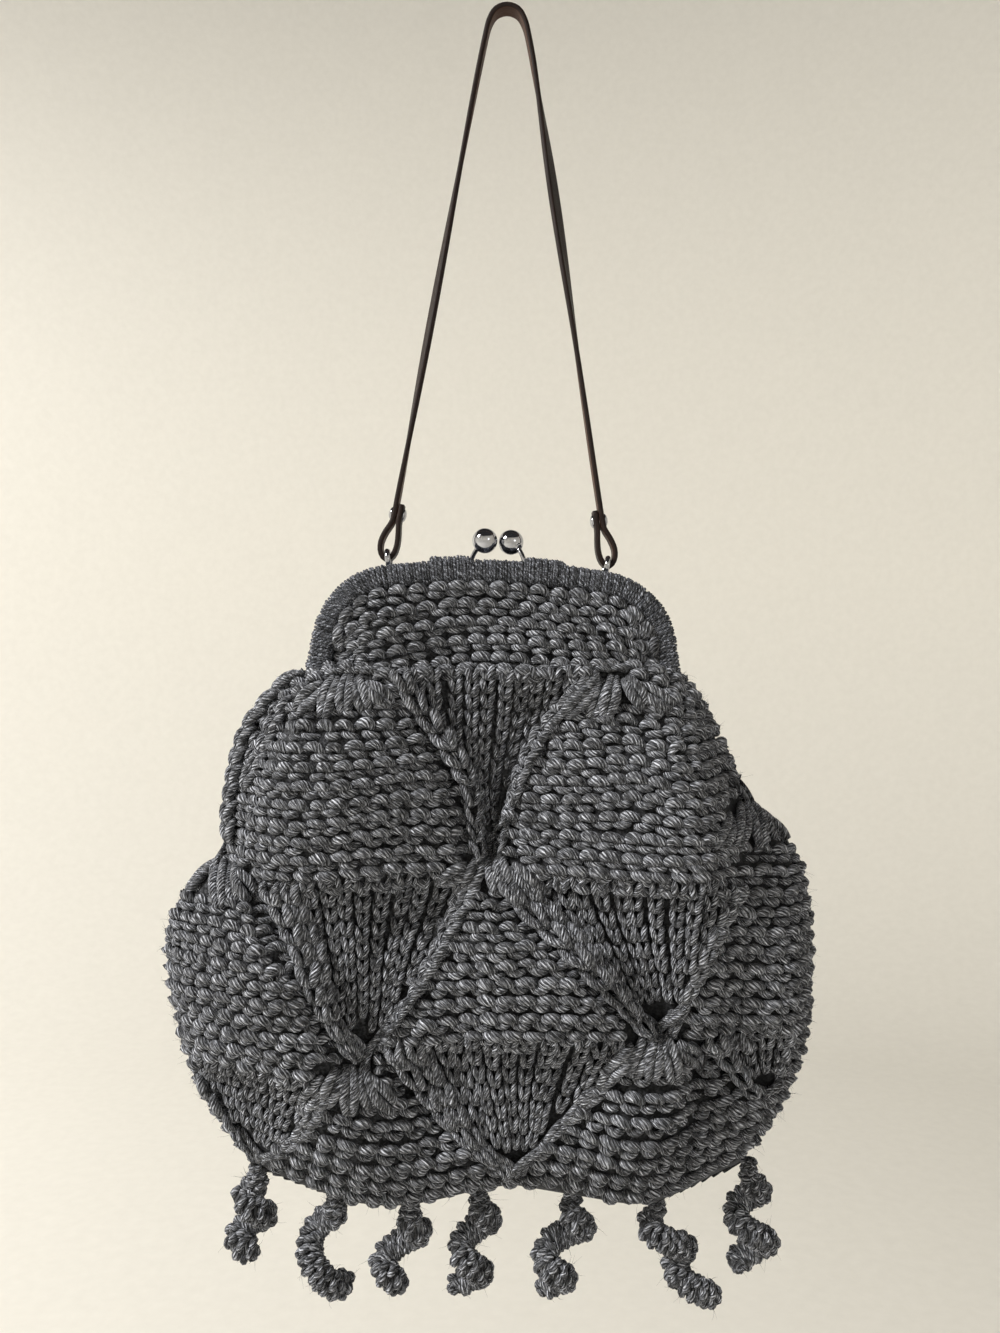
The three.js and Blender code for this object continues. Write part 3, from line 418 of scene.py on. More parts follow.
def side_grid(side):
    """Points, outward directions and plain heights of the grid."""
    a = np.linspace(math.pi, 0, GRID_ANGLES)[:, None]
    neck = np.linspace(0, 1, GRID_TOP, endpoint=False)
    upper = np.linspace(SHOULDER_Z, TOP_ZONE_Z, GRID_TOP)
    smooth, puffed = (
        np.concatenate([neck_point(a, neck, side, 0, share), body_point(a, upper, side, 0, share)], axis=1)
        for share in (0, 1)
    )
    plain_z = np.concatenate([np.full_like(neck, SHOULDER_Z + 1), upper])
    reach = lengths(smooth)
    marks = np.linspace(0, 1, int(reach[:, -1].mean() / GRID_STEP))
    top = np.array([read_line(line, run, marks * run[-1]) for line, run in zip(puffed, reach)])
    top_z = np.array([np.interp(marks * run[-1], run, plain_z) for run in reach])
    below = np.arange(TOP_ZONE_Z - GRID_STEP, LOWEST_Z, -GRID_STEP)
    grid = np.concatenate([top, body_point(a, below, side)], axis=1)
    depth_z = np.concatenate([top_z, np.broadcast_to(below, (GRID_ANGLES, len(below)))], axis=1)
    normal = side * unit(np.cross(np.gradient(grid, axis=1), np.gradient(grid, axis=0)))
    return grid, normal, depth_z


def grid_read(field, i, j):
    """Values of a grid between its points."""
    i, j = (np.clip(v, 0, size - 1.001) for v, size in zip(np.broadcast_arrays(i, j), field.shape))
    i0, j0 = i.astype(int), j.astype(int)
    fi, fj = i - i0, j - j0
    if field.ndim == 3:
        fi, fj = fi[..., None], fj[..., None]
    low, high = (lerp(field[i0, k], field[i0 + 1, k], fi) for k in (j0, j0 + 1))
    return lerp(low, high, fj)


# Meshes
CELL_MARGIN = 0.04


def show(name, data):
    thing = bpy.data.objects.new(name, data)
    bpy.context.scene.collection.objects.link(thing)
    return thing


class Pile:
    """Lofts of rings gathered into one mesh. Each point also has strand coordinates, a tone and a crest,
    which darkens the colour as painted shade where strands sink in.
    """

    def __init__(self):
        self.rows, self.faces, self.cells = [], [], []
        self.points = self.lofts = 0

    def add(self, rings, strand=None, tone=0.5, crevice_shade=1.0, closed=False):
        """rings (n, steps, sides, 3), right-handed about the way they run; strand has the same shape.
        tone is one to a loft, crest (steps, sides) is 1 on the outside and less where a strand sinks in,
        where it darkens the colour as painted shade."""
        n, steps, sides, _ = rings.shape
        shades = np.empty((n, steps, sides, 2))
        shades[..., 0] = np.reshape(tone, (-1, 1, 1))
        shades[..., 1] = crevice_shade
        rows = np.concatenate([rings, rings if strand is None else strand, shades], axis=-1)
        ends = rows[:, [0, -1]].mean(axis=2)
        rows = rows.reshape(n, steps * sides, -1)
        if not closed:
            rows = np.concatenate([rows, ends], axis=1)
        size = rows.shape[1]
        base = self.points + size * np.arange(n)
        for corners, spots in ring_faces(steps, sides, closed):
            self.faces.append((corners + base[:, None, None]).reshape(-1, corners.shape[1]))
            self.cells.append((self.lofts, np.broadcast_to(spots, (n,) + spots.shape)))
        self.rows.append(rows.reshape(n * size, -1))
        self.points += n * size
        self.lofts += n

    def build(self, name, material):
        rows = np.concatenate(self.rows)
        corners = np.concatenate([f.ravel() for f in self.faces])
        totals = np.concatenate([np.full(*f.shape) for f in self.faces])
        mesh = bpy.data.meshes.new(name)
        mesh.vertices.add(len(rows))
        mesh.vertices.foreach_set("co", (rows[:, :3] * MM).astype(np.float32).ravel())
        mesh.loops.add(len(corners))
        mesh.loops.foreach_set("vertex_index", corners.astype(np.int32))
        mesh.polygons.add(len(totals))
        mesh.polygons.foreach_set("loop_start", (np.cumsum(totals) - totals).astype(np.int32))
        mesh.update(calc_edges=True)
        mesh.shade_smooth()
        layer = mesh.uv_layers.new(name="OFBake")
        layer.uv.foreach_set("vector", self.map_cells().astype(np.float32).ravel())
        strand = mesh.attributes.new("strand", "FLOAT_VECTOR", "POINT")
        strand.data.foreach_set("vector", rows[:, 3:6].astype(np.float32).ravel())
        for key, values in (("tone", rows[:, 6]), ("crevice_shade", rows[:, 7])):
            shade = mesh.attributes.new(key, "FLOAT", "POINT")
            shade.data.foreach_set("value", values.astype(np.float32))
        mesh.materials.append(material)
        return show(name, mesh)

    def map_cells(self):
        """Each loft gets a cell of its own in a square map."""
        across = math.ceil(math.sqrt(self.lofts))
        spots = []
        for first, cells in self.cells:
            index = first + np.arange(len(cells))
            corner = np.stack([index % across, index // across], axis=-1)[:, None, None]
            spots.append(((corner + lerp(CELL_MARGIN, 1 - CELL_MARGIN, cells)) / across).reshape(-1, 2))
        return np.concatenate(spots)


def ring_faces(steps, sides, closed):
    """Corners and map places of the sides, and of the two end caps, of one loft."""
    rows = np.arange(steps if closed else steps - 1)
    k, i = (v.ravel() for v in np.meshgrid(rows, np.arange(sides), indexing="ij"))
    around = ((0, 0), (0, 1), (1, 1), (1, 0))
    quads = np.stack([(k + a) % steps * sides + (i + b) % sides for a, b in around], axis=-1)
    spots = np.stack([np.stack([k + a, i + b], axis=-1) for a, b in around], axis=1) / (steps, sides)
    side = np.arange(sides)
    on = (side + 1) % sides
    last, pole = (steps - 1) * sides, steps * sides
    start = np.stack([np.full(sides, pole), on, side], axis=-1)
    end = np.stack([np.full(sides, pole + 1), last + side, last + on], axis=-1)
    tip_spots = np.zeros((2 * sides, 3, 2))
    tip_spots[:, :, 1] = np.tile(np.stack([side + 0.5, side + 1, side], axis=-1) / sides, (2, 1))
    tip_spots[sides:, :, 0] = 1 - 1 / steps
    tips = 0 if closed else 2 * sides
    return (quads, spots), (np.concatenate([start, end])[:tips], tip_spots[:tips])


def sweep(paths, radii, hints, sides):
    """Round rings along paths (n, steps, 3); hints point away from what each path lies on."""
    ahead = unit(np.gradient(paths, axis=1))
    out = unit(hints - ahead * np.sum(hints * ahead, axis=-1, keepdims=True))
    turn = even_turns(sides)[:, None]
    ring = out[:, :, None] * np.cos(turn) + np.cross(ahead, out)[:, :, None] * np.sin(turn)
    return paths[:, :, None] + radii[..., None, None] * ring


def add_strands(pile, paths, radii, hints, sides, twist=YARN_TWIST, tone=None):
    n, steps, _ = paths.shape
    rings = sweep(paths, radii, hints, sides)
    run = lengths(paths) + RNG.uniform(0, 900, (n, 1))
    turn = even_turns(sides) + (run * twist)[..., None]
    size = radii.max()
    strand = np.stack(np.broadcast_arrays(size * np.cos(turn), size * np.sin(turn), run[..., None]), axis=-1)
    # Painted shade: 1 on a strand's outer side, less towards the body and at its ends where it sinks in.
    crevice_shade = spindle(np.linspace(-1, 1, steps), END_SHADE, 4)[:, None] * (1 + np.cos(even_turns(sides))) / 2
    pile.add(rings, strand, RNG.uniform(0, 1, n) if tone is None else tone, crevice_shade)


# Loose hairs that stand off the yarn
def add_hairs(pile, roots, outs):
    n = len(roots)
    steps = np.linspace(0, 1, 4)[:, None]
    lean = unit(unit(outs) + RNG.normal(0, HAIR_LEAN, (n, 3)))[:, None]
    curl = RNG.normal(0, HAIR_CURL, (n, 1, 3))
    reach = RNG.uniform(*HAIR_LENGTHS, (n, 1, 1))
    paths = roots[:, None] + reach * (lean * steps + curl * steps ** 2)
    sizes = np.broadcast_to(HAIR_RADIUS * spindle(steps[:, 0], 0.7, 1), paths.shape[:2])
    add_strands(pile, paths, sizes, np.broadcast_to(np.cross(lean, HAIR_SIDE), paths.shape), 3)


# Garter stitch: rows of short curved bumps, each row half a stitch off the one above it
def in_fans(x, z):
    inside = np.zeros(x.shape, bool)
    for fan in FANS:
        t, across, _ = fan_place(x, z, fan)
        sag = FAN_SAG * np.maximum(1 - across ** 2, 0) + FAN_RIPPLE * np.sin(x / FAN_RIPPLE_RUN + fan.top_x)
        within = (t > sag + FAN_REACH[0]) & (t < FAN_REACH[1])
        inside |= within & (across > -FAN_MARGINS[0]) & (across < FAN_MARGINS[1])
    return inside


def in_gathers(x, z):
    inside = np.zeros(x.shape, bool)
    for scale in SCALES:
        share = by_size(scale, GATHER_SHARES)
        wide, high = share * (GATHER_FOOT + GATHER_ROOM), share * GATHER_HIGH * GATHER_LENGTH
        down = scale.knot_z - GATHER_LOW * high - z
        inside |= ((x - scale.knot_x) / wide) ** 2 + (down / high) ** 2 < 1
    return inside


def row_wander(x, z, phases):
    """How far hand-knitted rows stray up and down, and how they are drawn towards a fold and the knots."""
    stray = sum(height * np.sin(across * x + down * z + phase)
                for (across, down, height), phase in zip(WAVES, phases))
    fold_x, _, _, fold_foot, _, _ = RIDGE_FOLD
    beside = bell((x - fold_x - RIDGE_ASIDE) / RIDGE_WIDTH)
    stray = stray - RIDGE_PULL * beside * smoothstep(z, fold_foot, fold_foot + RIDGE_REACH)
    for scale in SCALES:
        near = bell((x - scale.knot_x) / PULL_WIDE, (z - scale.knot_z + PULL_BELOW) / PULL_HIGH)
        stray = stray - near * by_size(scale, KNOT_PULLS)
    return stray


def garter(pile, hairs, side):
    grid, normal, depth_z = side_grid(side)
    steps = np.linspace(-1, 1, 7)
    phases = RNG.uniform(0, 6, len(WAVES))
    columns = np.arange(GRID_ANGLES, dtype=float)
    ridges = int((grid.shape[1] - 1) * GRID_STEP / RIDGE_STEP) + 1
    rows = []
    for r in range(2 * ridges):
        place, radius, half_length, arch, lift = BUMPS[r % 2]
        level = (FIRST_RIDGE + RIDGE_STEP * (r // 2) + place) / GRID_STEP
        run = lengths(grid_read(grid, columns, level))
        start = STITCH_STEP * (0.5 * (r % 2) + RNG.uniform(-0.1, 0.1)) - STITCH_STEP / 2
        centres = np.arange(start, run[-1] + STITCH_STEP / 2, STITCH_STEP)
        centres = centres + RNG.normal(0, 0.3, len(centres))
        spot = np.interp(centres, run, columns)
        x, z = grid_read(grid, spot, level)[:, 0], grid_read(depth_z, spot, level)
        facing = np.sin(spot / (GRID_ANGLES - 1) * math.pi) > FACING_SIDE
        keep = ~(facing & in_fans(x, z)) & ~in_gathers(x, z)
        each = (keep.sum(), 1)
        stray = row_wander(x[keep], z[keep], phases)[:, None] + RNG.normal(0, 0.25, each)
        bend = arch * RNG.normal(1, 0.15, each) * (BUMP_ARCH - steps ** 2)
        tilt = RNG.normal(BUMP_TILT, 0.45, each) * steps
        along = centres[keep, None] + half_length * RNG.normal(1, 0.05, each) * steps
        i, j = np.interp(along, run, columns), level - (bend + tilt - stray) / GRID_STEP
        out = grid_read(normal, i, j)
        rise = lift + RNG.normal(0, 0.4, each) - BUMP_DIP * np.abs(steps) ** 2.5
        sizes = radius * RNG.normal(1, 0.07, each) * spindle(steps, 0.42, 2.5)
        rows.append((grid_read(grid, i, j) + unit(out) * rise[..., None], sizes, out))
    paths, sizes, hints = map(np.concatenate, zip(*rows))
    add_strands(pile, paths, sizes, hints, 8)
    hairy = RNG.integers(0, len(paths), FUZZ_HAIRS), RNG.integers(1, len(steps) - 1, FUZZ_HAIRS)
    add_hairs(hairs, paths[hairy] + BUMP_HAIR_ROOT * unit(hints[hairy]), hints[hairy])


# Surface points and outward directions, at angles round the side or at plain x
def face(a, z, side):
    turn, rise = 0.02, 0.5
    over = body_point(a - turn, z, side) - body_point(a + turn, z, side)
    under = body_point(a, z - rise, side) - body_point(a, z + rise, side)
    return body_point(a, z, side), side * unit(np.cross(under, over))


def surface(x, z, side):
    return face(np.arccos(np.clip(across_share(x, z), -0.9995, 0.9995)), z, side)


# Stockinette fans: columns of V stitches lost under the drawn-in edges, a raised chain along each edge,
# and two long strands that cross at the point
def fan_line(fan, f, t):
    middle, half = fan_axis(fan, t)
    return middle + f * half, fan.top_z - t * (fan.top_z - fan.point_z)


def vee_legs(pile, side, x, z, spread, lift, radius):
    """Two slanting legs to each stitch; x and z have one row to a stitch, from its top to its foot."""
    each = (len(x), 1)
    steps = np.linspace(0, 1, x.shape[1])
    for leg in (-1, 1):
        leg_x = x + leg * spread * (1 - VEE_CLOSE * steps) + RNG.normal(0, 0.15, each)
        point, out = surface(leg_x, z, side)
        facing = np.sqrt(1 - np.clip(across_share(leg_x, z), -1, 1) ** 2)
        on = facing.min(axis=1) > FACING_SIDE - FACING_MARGIN
        if not on.any():
            continue
        sizes = radius * spindle(2 * steps - 1, 0.55, 2.5) * RNG.normal(1, 0.05, each)
        path = point + out * (lift + arched(steps, VEE_ARCH, VEE_DIP))[..., None]
        add_strands(pile, path[on], sizes[on], out[on], 7)


def fan_columns(pile, side, fan):
    top_half, drop = fan.half + FAN_POINT_HALF, fan.top_z - fan.point_z
    columns = max(int(round(2 * top_half / VEE_WIDTH)), 3)
    rows = int(round((drop + VEE_START) / VEE_HEIGHT))
    f = np.linspace(-1, 1, columns) + RNG.normal(0, 0.012, columns)
    c, r = (v.ravel()[:, None] for v in np.meshgrid(np.arange(columns), np.arange(rows), indexing="ij"))
    shift = RNG.uniform(0, 0.5, columns)
    down = VEE_HEIGHT * (r + VEE_OVERLAP * np.linspace(0, 1, 7) + shift[c])
    t = (down - VEE_START + RNG.normal(0, 0.3, r.shape)) / drop
    middle, z = fan_line(fan, 0, t)
    drawn = 1 - FAN_DRAW * np.clip(t, 0, 1)
    apart = f[c] * top_half * drawn
    keep = (np.abs(apart) < fan_axis(fan, t)[1] - FAN_COLUMN_GAP).all(axis=1) & (t[:, -1] < FAN_COLUMN_END)
    x = middle + apart + COLUMN_SWAY * np.sin(z / COLUMN_SWAY_RUN + 3 * f[c])
    lift = VEE_LIFT + RNG.normal(0, 0.5, columns)[c[keep]]
    radius = VEE_RADIUS * lerp(VEE_THIN, 1, drawn[keep])
    vee_legs(pile, side, x[keep], z[keep], VEE_SPREAD * drawn[keep], lift, radius)


def fan_edges(pile, side, fan):
    drop = fan.top_z - fan.point_z
    run = np.arange(EDGE_START, drop - EDGE_FOOT, EDGE_HEIGHT)[:, None]
    t = (run + EDGE_OVERLAP * EDGE_HEIGHT * np.linspace(0, 1, 7)) / drop
    thin = lerp(1, EDGE_THIN, smoothstep(t[:, -1:], 0.5, 1))
    for place, lift in EDGE_CHAINS if fan.half > WIDE_FAN else EDGE_CHAINS[:2]:
        x, z = fan_line(fan, place, t)
        x = x + EDGE_SWAY * np.sin(z / EDGE_SWAY_RUN + fan.top_x + place)
        vee_legs(pile, side, x, z, EDGE_SPREAD * thin, VEE_LIFT + lift, EDGE_RADIUS * thin)


# A raised chain along the left outline of the upper left scale
def side_chain(pile):
    steps = np.linspace(0, 1, 7)
    z = np.arange(SIDE_TOP_Z, SIDE_FOOT_Z, -EDGE_HEIGHT)[:, None] - SIDE_OVERLAP * EDGE_HEIGHT * steps
    lift = SIDE_LIFT + arched(steps, SIDE_ARCH, SIDE_DIP)
    sizes = np.broadcast_to(EDGE_RADIUS * spindle(2 * steps - 1, 0.45, 2.5), z.shape)
    for leg in (-1, 1):
        point, out = face(SIDE_ANGLE + leg * SIDE_SPREAD * (1 - SIDE_CLOSE * steps), z, 1)
        add_strands(pile, point + out * lift[:, None], sizes, out, 7)


def crossing(pile, side, fan):
    steps = np.linspace(0, 1, 12)
    sizes = CROSS_RADIUS * spindle(2 * steps - 1, 0.3, 3)
    strands = []
    for end in (-1, 1):
        f = end * lerp(*CROSS_ENDS, smoothstep(steps, 0, 1))
        x, z = fan_line(fan, f, CROSS_START + CROSS_RUN * steps)
        lift = CROSS_LIFT + arched(steps, CROSS_ARCH, 0) + CROSS_OVER * end
        for apart in (-CROSS_APART, CROSS_APART):
            point, out = surface(x + apart, z, side)
            strands.append((point + out * lift[:, None], sizes, out))
    add_strands(pile, *map(np.array, zip(*strands)), 8)


# Gathers: leaf-shaped double loops that spread downwards from each drawn-in knot
def gather(pile, side, scale):
    share = by_size(scale, GATHER_SHARES)
    steps = np.linspace(0, 1, 10)
    swell = np.sin(math.pi * lerp(0.06, 0.9, steps))
    sizes = share ** 0.5 * GATHER_RADIUS * (0.6 + 0.45 * swell)
    strands = []
    for leaf in np.linspace(-1, 1, GATHER_LEAVES):
        angle = GATHER_SPREAD * leaf + RNG.normal(0, 0.12)
        run = share * GATHER_LENGTH * RNG.uniform(0.8, 1.15) * steps
        start = share * (GATHER_FOOT * leaf + RNG.normal(0, 0.6))
        lift = RNG.normal(0, 0.7) + GATHER_LIFT[0] + GATHER_LIFT[1] * swell ** 0.7
        crown = share * GATHER_CROWN * (1 - leaf ** 2)
        for half in (-1, 1):
            apart = half * share * (GATHER_OPEN[0] + GATHER_OPEN[1] * swell)
            x = scale.knot_x + start + run * math.sin(angle) + apart * math.cos(angle)
            z = scale.knot_z + crown - run * math.cos(angle) + apart * math.sin(angle)
            point, out = surface(x, z, side)
            strands.append((point + out * lift[:, None], sizes, out))
    add_strands(pile, *map(np.array, zip(*strands)), 8)


# The closed wall under the stitches, and the lining face inside it
def backing(pile):
    turns = even_turns(WALL_SIDES)
    front = np.sin(turns) >= 0
    folded = np.where(front, turns, 2 * math.pi - turns)
    levels = [(neck_point, part) for part in np.linspace(0.03, 0.97, 12)]
    levels += [(body_point, z) for z in np.linspace(SHOULDER_Z, LOWEST_Z + 2, 64)]

    def wall(inset, share):
        return [np.where(front[:, None], *(point(folded, at, side, inset, share) for side in (1, -1)))
                for point, at in levels]

    rings = np.array(wall(LINING_INSET, LINING_RELIEF)[:-6][::-1] + wall(BACKING_INSET, 1.0))[:, ::-1]
    run = np.broadcast_to(WALL_STEP * np.arange(len(rings))[:, None, None], rings[..., :1].shape)
    pile.add(rings[None], np.concatenate([rings[..., [0, 2]], run], axis=-1)[None])


def seam_edge(pile):
    steps = np.linspace(-1, 1, 8)
    x = np.arange(*SEAM_SPAN, SEAM_STEP)[:, None] + SEAM_REACH * steps
    z = seam_height(x) + 1.2 + 0.8 * (1 - steps ** 2)
    paths = np.stack(np.broadcast_arrays(x, MIDDLE_Y + 0.5 + SEAM_LEAN * steps, z), axis=-1)
    sizes = np.broadcast_to(SEAM_CORD * spindle(steps, 0.35, 3), x.shape)
    add_strands(pile, paths, sizes, np.broadcast_to((0, -0.3, -1.0), paths.shape), 8)


# Tassels: a core with small crocheted bumps round it, on a loose corkscrew
def curl_line(row):
    x, drop, lean, coil, turns, phase, hook = row
    t = np.linspace(0, 1, 260)
    top = seam_height(x + CURL_RADIUS * np.array((-1, 0, 1))).min() - CURL_SEAM_GAP
    angle = math.radians(phase) + 2 * math.pi * turns * t
    reach = coil * smoothstep(t, 0.03, 0.24)
    line = np.stack([
        x + lean * smoothstep(t, 0.06, 1) + reach * np.sin(angle),
        MIDDLE_Y + CURL_FLAT * reach * np.cos(angle),
        top - drop * t + hook * smoothstep(t, 0.7, 1),
    ], axis=-1)
    sewn = line[0] + np.array([0.0, 0.0, CURL_SEWN]) * np.linspace(1, 0, 20, endpoint=False)[:, None]
    return np.concatenate([sewn, line])


def carried_frames(line):
    """Two directions across a line at each point, carried along it without twist."""
    ahead = unit(np.gradient(line, axis=0))
    out = np.empty_like(line)
    out[0] = unit(np.cross(ahead[0], (0.0, 1.0, 0.0)))
    for k in range(1, len(line)):
        out[k] = unit(out[k - 1] - ahead[k] * np.dot(out[k - 1], ahead[k]))
    return out, np.cross(ahead, out)


def curl(pile, row):
    line = curl_line(row)
    run = lengths(line)
    fields = (line, *carried_frames(line))
    end = run[-1]

    def taper(at):
        left = np.clip((end - at) / CURL_RADIUS, 0.03, 1)
        return lerp(CURL_START, 1, smoothstep(at / end, 0, 0.2)) * np.sqrt(left * (2 - left))

    core = np.linspace(0, end, 60)
    middle, out, _ = (read_line(field, run, core)[None] for field in fields)
    # The core takes the darkest tone: painted shade in the gaps between its bumps.
    add_strands(pile, middle, (CURL_CORE * taper(core))[None], out, 10, tone=0.1)
    steps = np.linspace(-1, 1, 6)
    bumps = []
    for j, at in enumerate(np.arange(CURL_MARGINS[0], end - CURL_MARGINS[1], CURL_PITCH)):
        for b in range(CURL_BUMPS):
            turn = 2 * math.pi * (b + 0.5 * (j % 2)) / CURL_BUMPS + RNG.normal(0, 0.12)
            turn = turn + CURL_BUMP_TURN * steps
            place = np.clip(at + 0.7 * steps - steps ** 2 + RNG.normal(0, 0.35), 0, end)
            middle, out, side = (read_line(field, run, place) for field in fields)
            away = unit(out * np.cos(turn)[:, None] + side * np.sin(turn)[:, None])
            thick = taper(place)
            lift = CURL_RADIUS * thick - CURL_BUMP_SINK + RNG.normal(0, 0.2)
            lift = np.maximum(lift - CURL_BUMP_DIP * np.abs(steps) ** 2.2, 0.3)
            sizes = CURL_BUMP_RADIUS * lerp(0.45, 1, thick) * spindle(steps, 0.4, 3)
            bumps.append((middle + away * lift[:, None], sizes, away))
    paths, sizes, hints = map(np.array, zip(*bumps))
    add_strands(pile, paths, sizes, hints, 6)
    hairy = RNG.integers(0, len(paths), CURL_HAIRS), 2
    add_hairs(pile, paths[hairy] + CURL_HAIR_ROOT * hints[hairy], hints[hairy])


# Wound yarn: one turn after another round each rail, with a raised bundle on each side of the clasp
def rounded_section(width, height, corner, points):
    """Outline of a rounded bar at even steps, starting at the middle of its lower edge."""
    w, h = width / 2 - corner, height / 2 - corner
    outline = [(0.0, -height / 2)]
    for x, y, start in ((w, -h, -90), (w, h, 0), (-w, h, 90), (-w, -h, 180)):
        for angle in np.radians(np.linspace(start, start + 90, 12)):
            outline.append((x + corner * math.cos(angle), y + corner * math.sin(angle)))
    outline = np.array(outline + outline[:1])
    run = lengths(outline)
    return read_line(outline, run, np.linspace(0, run[-1], points))


def add_rail(pile, rail_y, depth, height, corner, trim):
    section = rounded_section(depth, height, corner, 29)[:-1]
    along = np.linspace(trim - HALF_ARCH, HALF_ARCH - trim, 150)[:, None]
    x, z, _ = arch_point(along, section[:, 1])
    pile.add(frame_to_world(x, rail_y + section[:, 0], z)[None])


def wrap_size(inset):
    """Depth, height and corner radius of a wound rail, less an inset all round."""
    return WRAP_DEPTH - 2 * inset, WRAP_HEIGHT - 2 * inset, WRAP_CORNER - inset


def winding(pile, rail_y):
    section = rounded_section(*wrap_size(WINDING_RADIUS), WINDING_POINTS)
    reach = HALF_ARCH + WRAP_END
    starts = np.arange(-reach, reach - WINDING_PITCH, WINDING_PITCH)[:, None]
    slant = np.linspace(0, 1, WINDING_POINTS)
    along = starts + WINDING_PITCH * slant + RNG.normal(0, 0.22, starts.shape) * np.sin(math.pi * slant)
    lift = RNG.normal(0, 0.14, starts.shape) + 0.12 * np.sin(RNG.uniform(0, 6, starts.shape) + 5 * slant)
    hump = window(np.abs(along), BUNDLE_RISE, BUNDLE_FALL)
    out = unit(section / (WRAP_DEPTH, WRAP_HEIGHT))
    wide, high = np.moveaxis(section + lift[..., None] * out, -1, 0)
    x, z, angle = arch_point(along, high + BUNDLE_HEIGHT * hump * smoothstep(section[:, 1], -1, 4))
    paths = frame_to_world(x, rail_y + wide, z)
    away = frame_to_world(np.sin(angle) * out[:, 1], out[:, 0], np.cos(angle) * out[:, 1])
    radii = np.full(x.shape, WINDING_RADIUS) * RNG.normal(1, 0.07, starts.shape)
    add_strands(pile, paths, radii, away - frame_to_world(0, 0, 0), 6, WINDING_TWIST)
    add_rail(pile, rail_y, *wrap_size(WINDING_CORE), -WRAP_END)


# Metal of the frame
def metal_tube(pile, path, radius, sides=18, closed=False):
    line = np.concatenate([path[-1:], path, path[:1]]) if closed else path
    hints = line - path.mean(axis=0) if closed else carried_frames(line)[0]
    rings = sweep(line[None], np.full((1, len(line)), radius), hints[None], sides)
    pile.add(rings[:, 1:-1] if closed else rings, closed=closed)


def lathe(pile, base, axis, profile, sides=36):
    """A turned form: profile gives (height along the axis, radius)."""
    axis = unit(axis)
    out = unit(np.cross(axis, LATHE_SIDE))
    turn = even_turns(sides)[:, None]
    spoke = out * np.cos(turn) + np.cross(axis, out) * np.sin(turn)
    pile.add(np.array([base + axis * height + spoke * radius for height, radius in profile])[None])


def clasp(pile, side, rail_y):
    foot, bend = (np.array([side * x, rail_y, z]) for x, z in (STEM_FOOT, STEM_BEND))
    end = np.array([side * BALL_X, MIDDLE_Y + side * BALL_STAGGER, BALL_HEIGHT])
    t = np.linspace(0, 1, 26)[:, None]
    path = (1 - t) ** 2 * foot + 2 * t * (1 - t) * bend + t ** 2 * end
    metal_tube(pile, frame_to_world(*path.T), STEM_RADIUS)
    centre = frame_to_world(*end)
    axis = frame_to_world(*(end + unit(end - bend))) - centre
    ball = [(-math.cos(q), BALL_RADIUS * math.sin(q)) for q in np.linspace(*BALL_ARC, 40)]
    lathe(pile, centre, axis, [(BALL_RADIUS * height, radius) for height, radius in (*COLLAR, *ball)], 48)


def ring_place(side):
    """Foot of a strap ring on the rail and the way it stands, in the frame's own axes."""
    along = side * CROWN_RADIUS * math.asin(RING_X / CROWN_RADIUS)
    x, z, angle = arch_point(along, RAIL_HEIGHT / 2 - RING_SINK)
    return np.array([x, BACK_Y, z]), np.array([math.sin(angle), 0, math.cos(angle)])


def strap_ring(pile, side):
    base, out = ring_place(side)
    bend, stretch = (RING_HEIGHT - RING_WIRE) / 2, (RING_WIDTH - RING_HEIGHT) / 2
    turn = even_turns(72)[:, None]
    wide = bend * np.cos(turn) + stretch * np.tanh(RING_SQUARE * np.cos(turn))
    path = base + out * (RING_HEIGHT / 2 + bend * np.sin(turn)) + wide * (0.0, 1.0, 0.0)
    metal_tube(pile, frame_to_world(*path.T), RING_WIRE / 2, 16, closed=True)


def hinge_tab(pile, side, rail_y, offset):
    x, z, _ = arch_point(side * HALF_ARCH)
    x = x + side * offset
    centre = frame_to_world(x, MIDDLE_Y, z - TAB_DROP)
    axis = frame_to_world(x + 1, MIDDLE_Y, z - TAB_DROP) - centre
    half = TAB_THICKNESS / 2
    edge = [(half, TAB_BORE), (half, TAB_RADIUS - TAB_EDGE), (half - TAB_EDGE, TAB_RADIUS)]
    lathe(pile, centre, axis, [(-height, radius) for height, radius in edge] + edge[::-1])
    path = [frame_to_world(x, lerp(rail_y, MIDDLE_Y, share), z + height) for height, share in POST_LINE]
    metal_tube(pile, np.array(path), POST_RADIUS)


def frame_half(name, rail_y, half, material):
    """half is -1 for the back, which also carries the strap rings, and 1 for the front."""
    pile = Pile()
    add_rail(pile, rail_y, RAIL_DEPTH, RAIL_HEIGHT, RAIL_CORNER, 0.0)
    clasp(pile, half, rail_y)
    for side in (-1, 1):
        hinge_tab(pile, side, rail_y, half * TAB_OFFSET)
        if half < 0:
            strap_ring(pile, side)
    return pile.build(name, material)


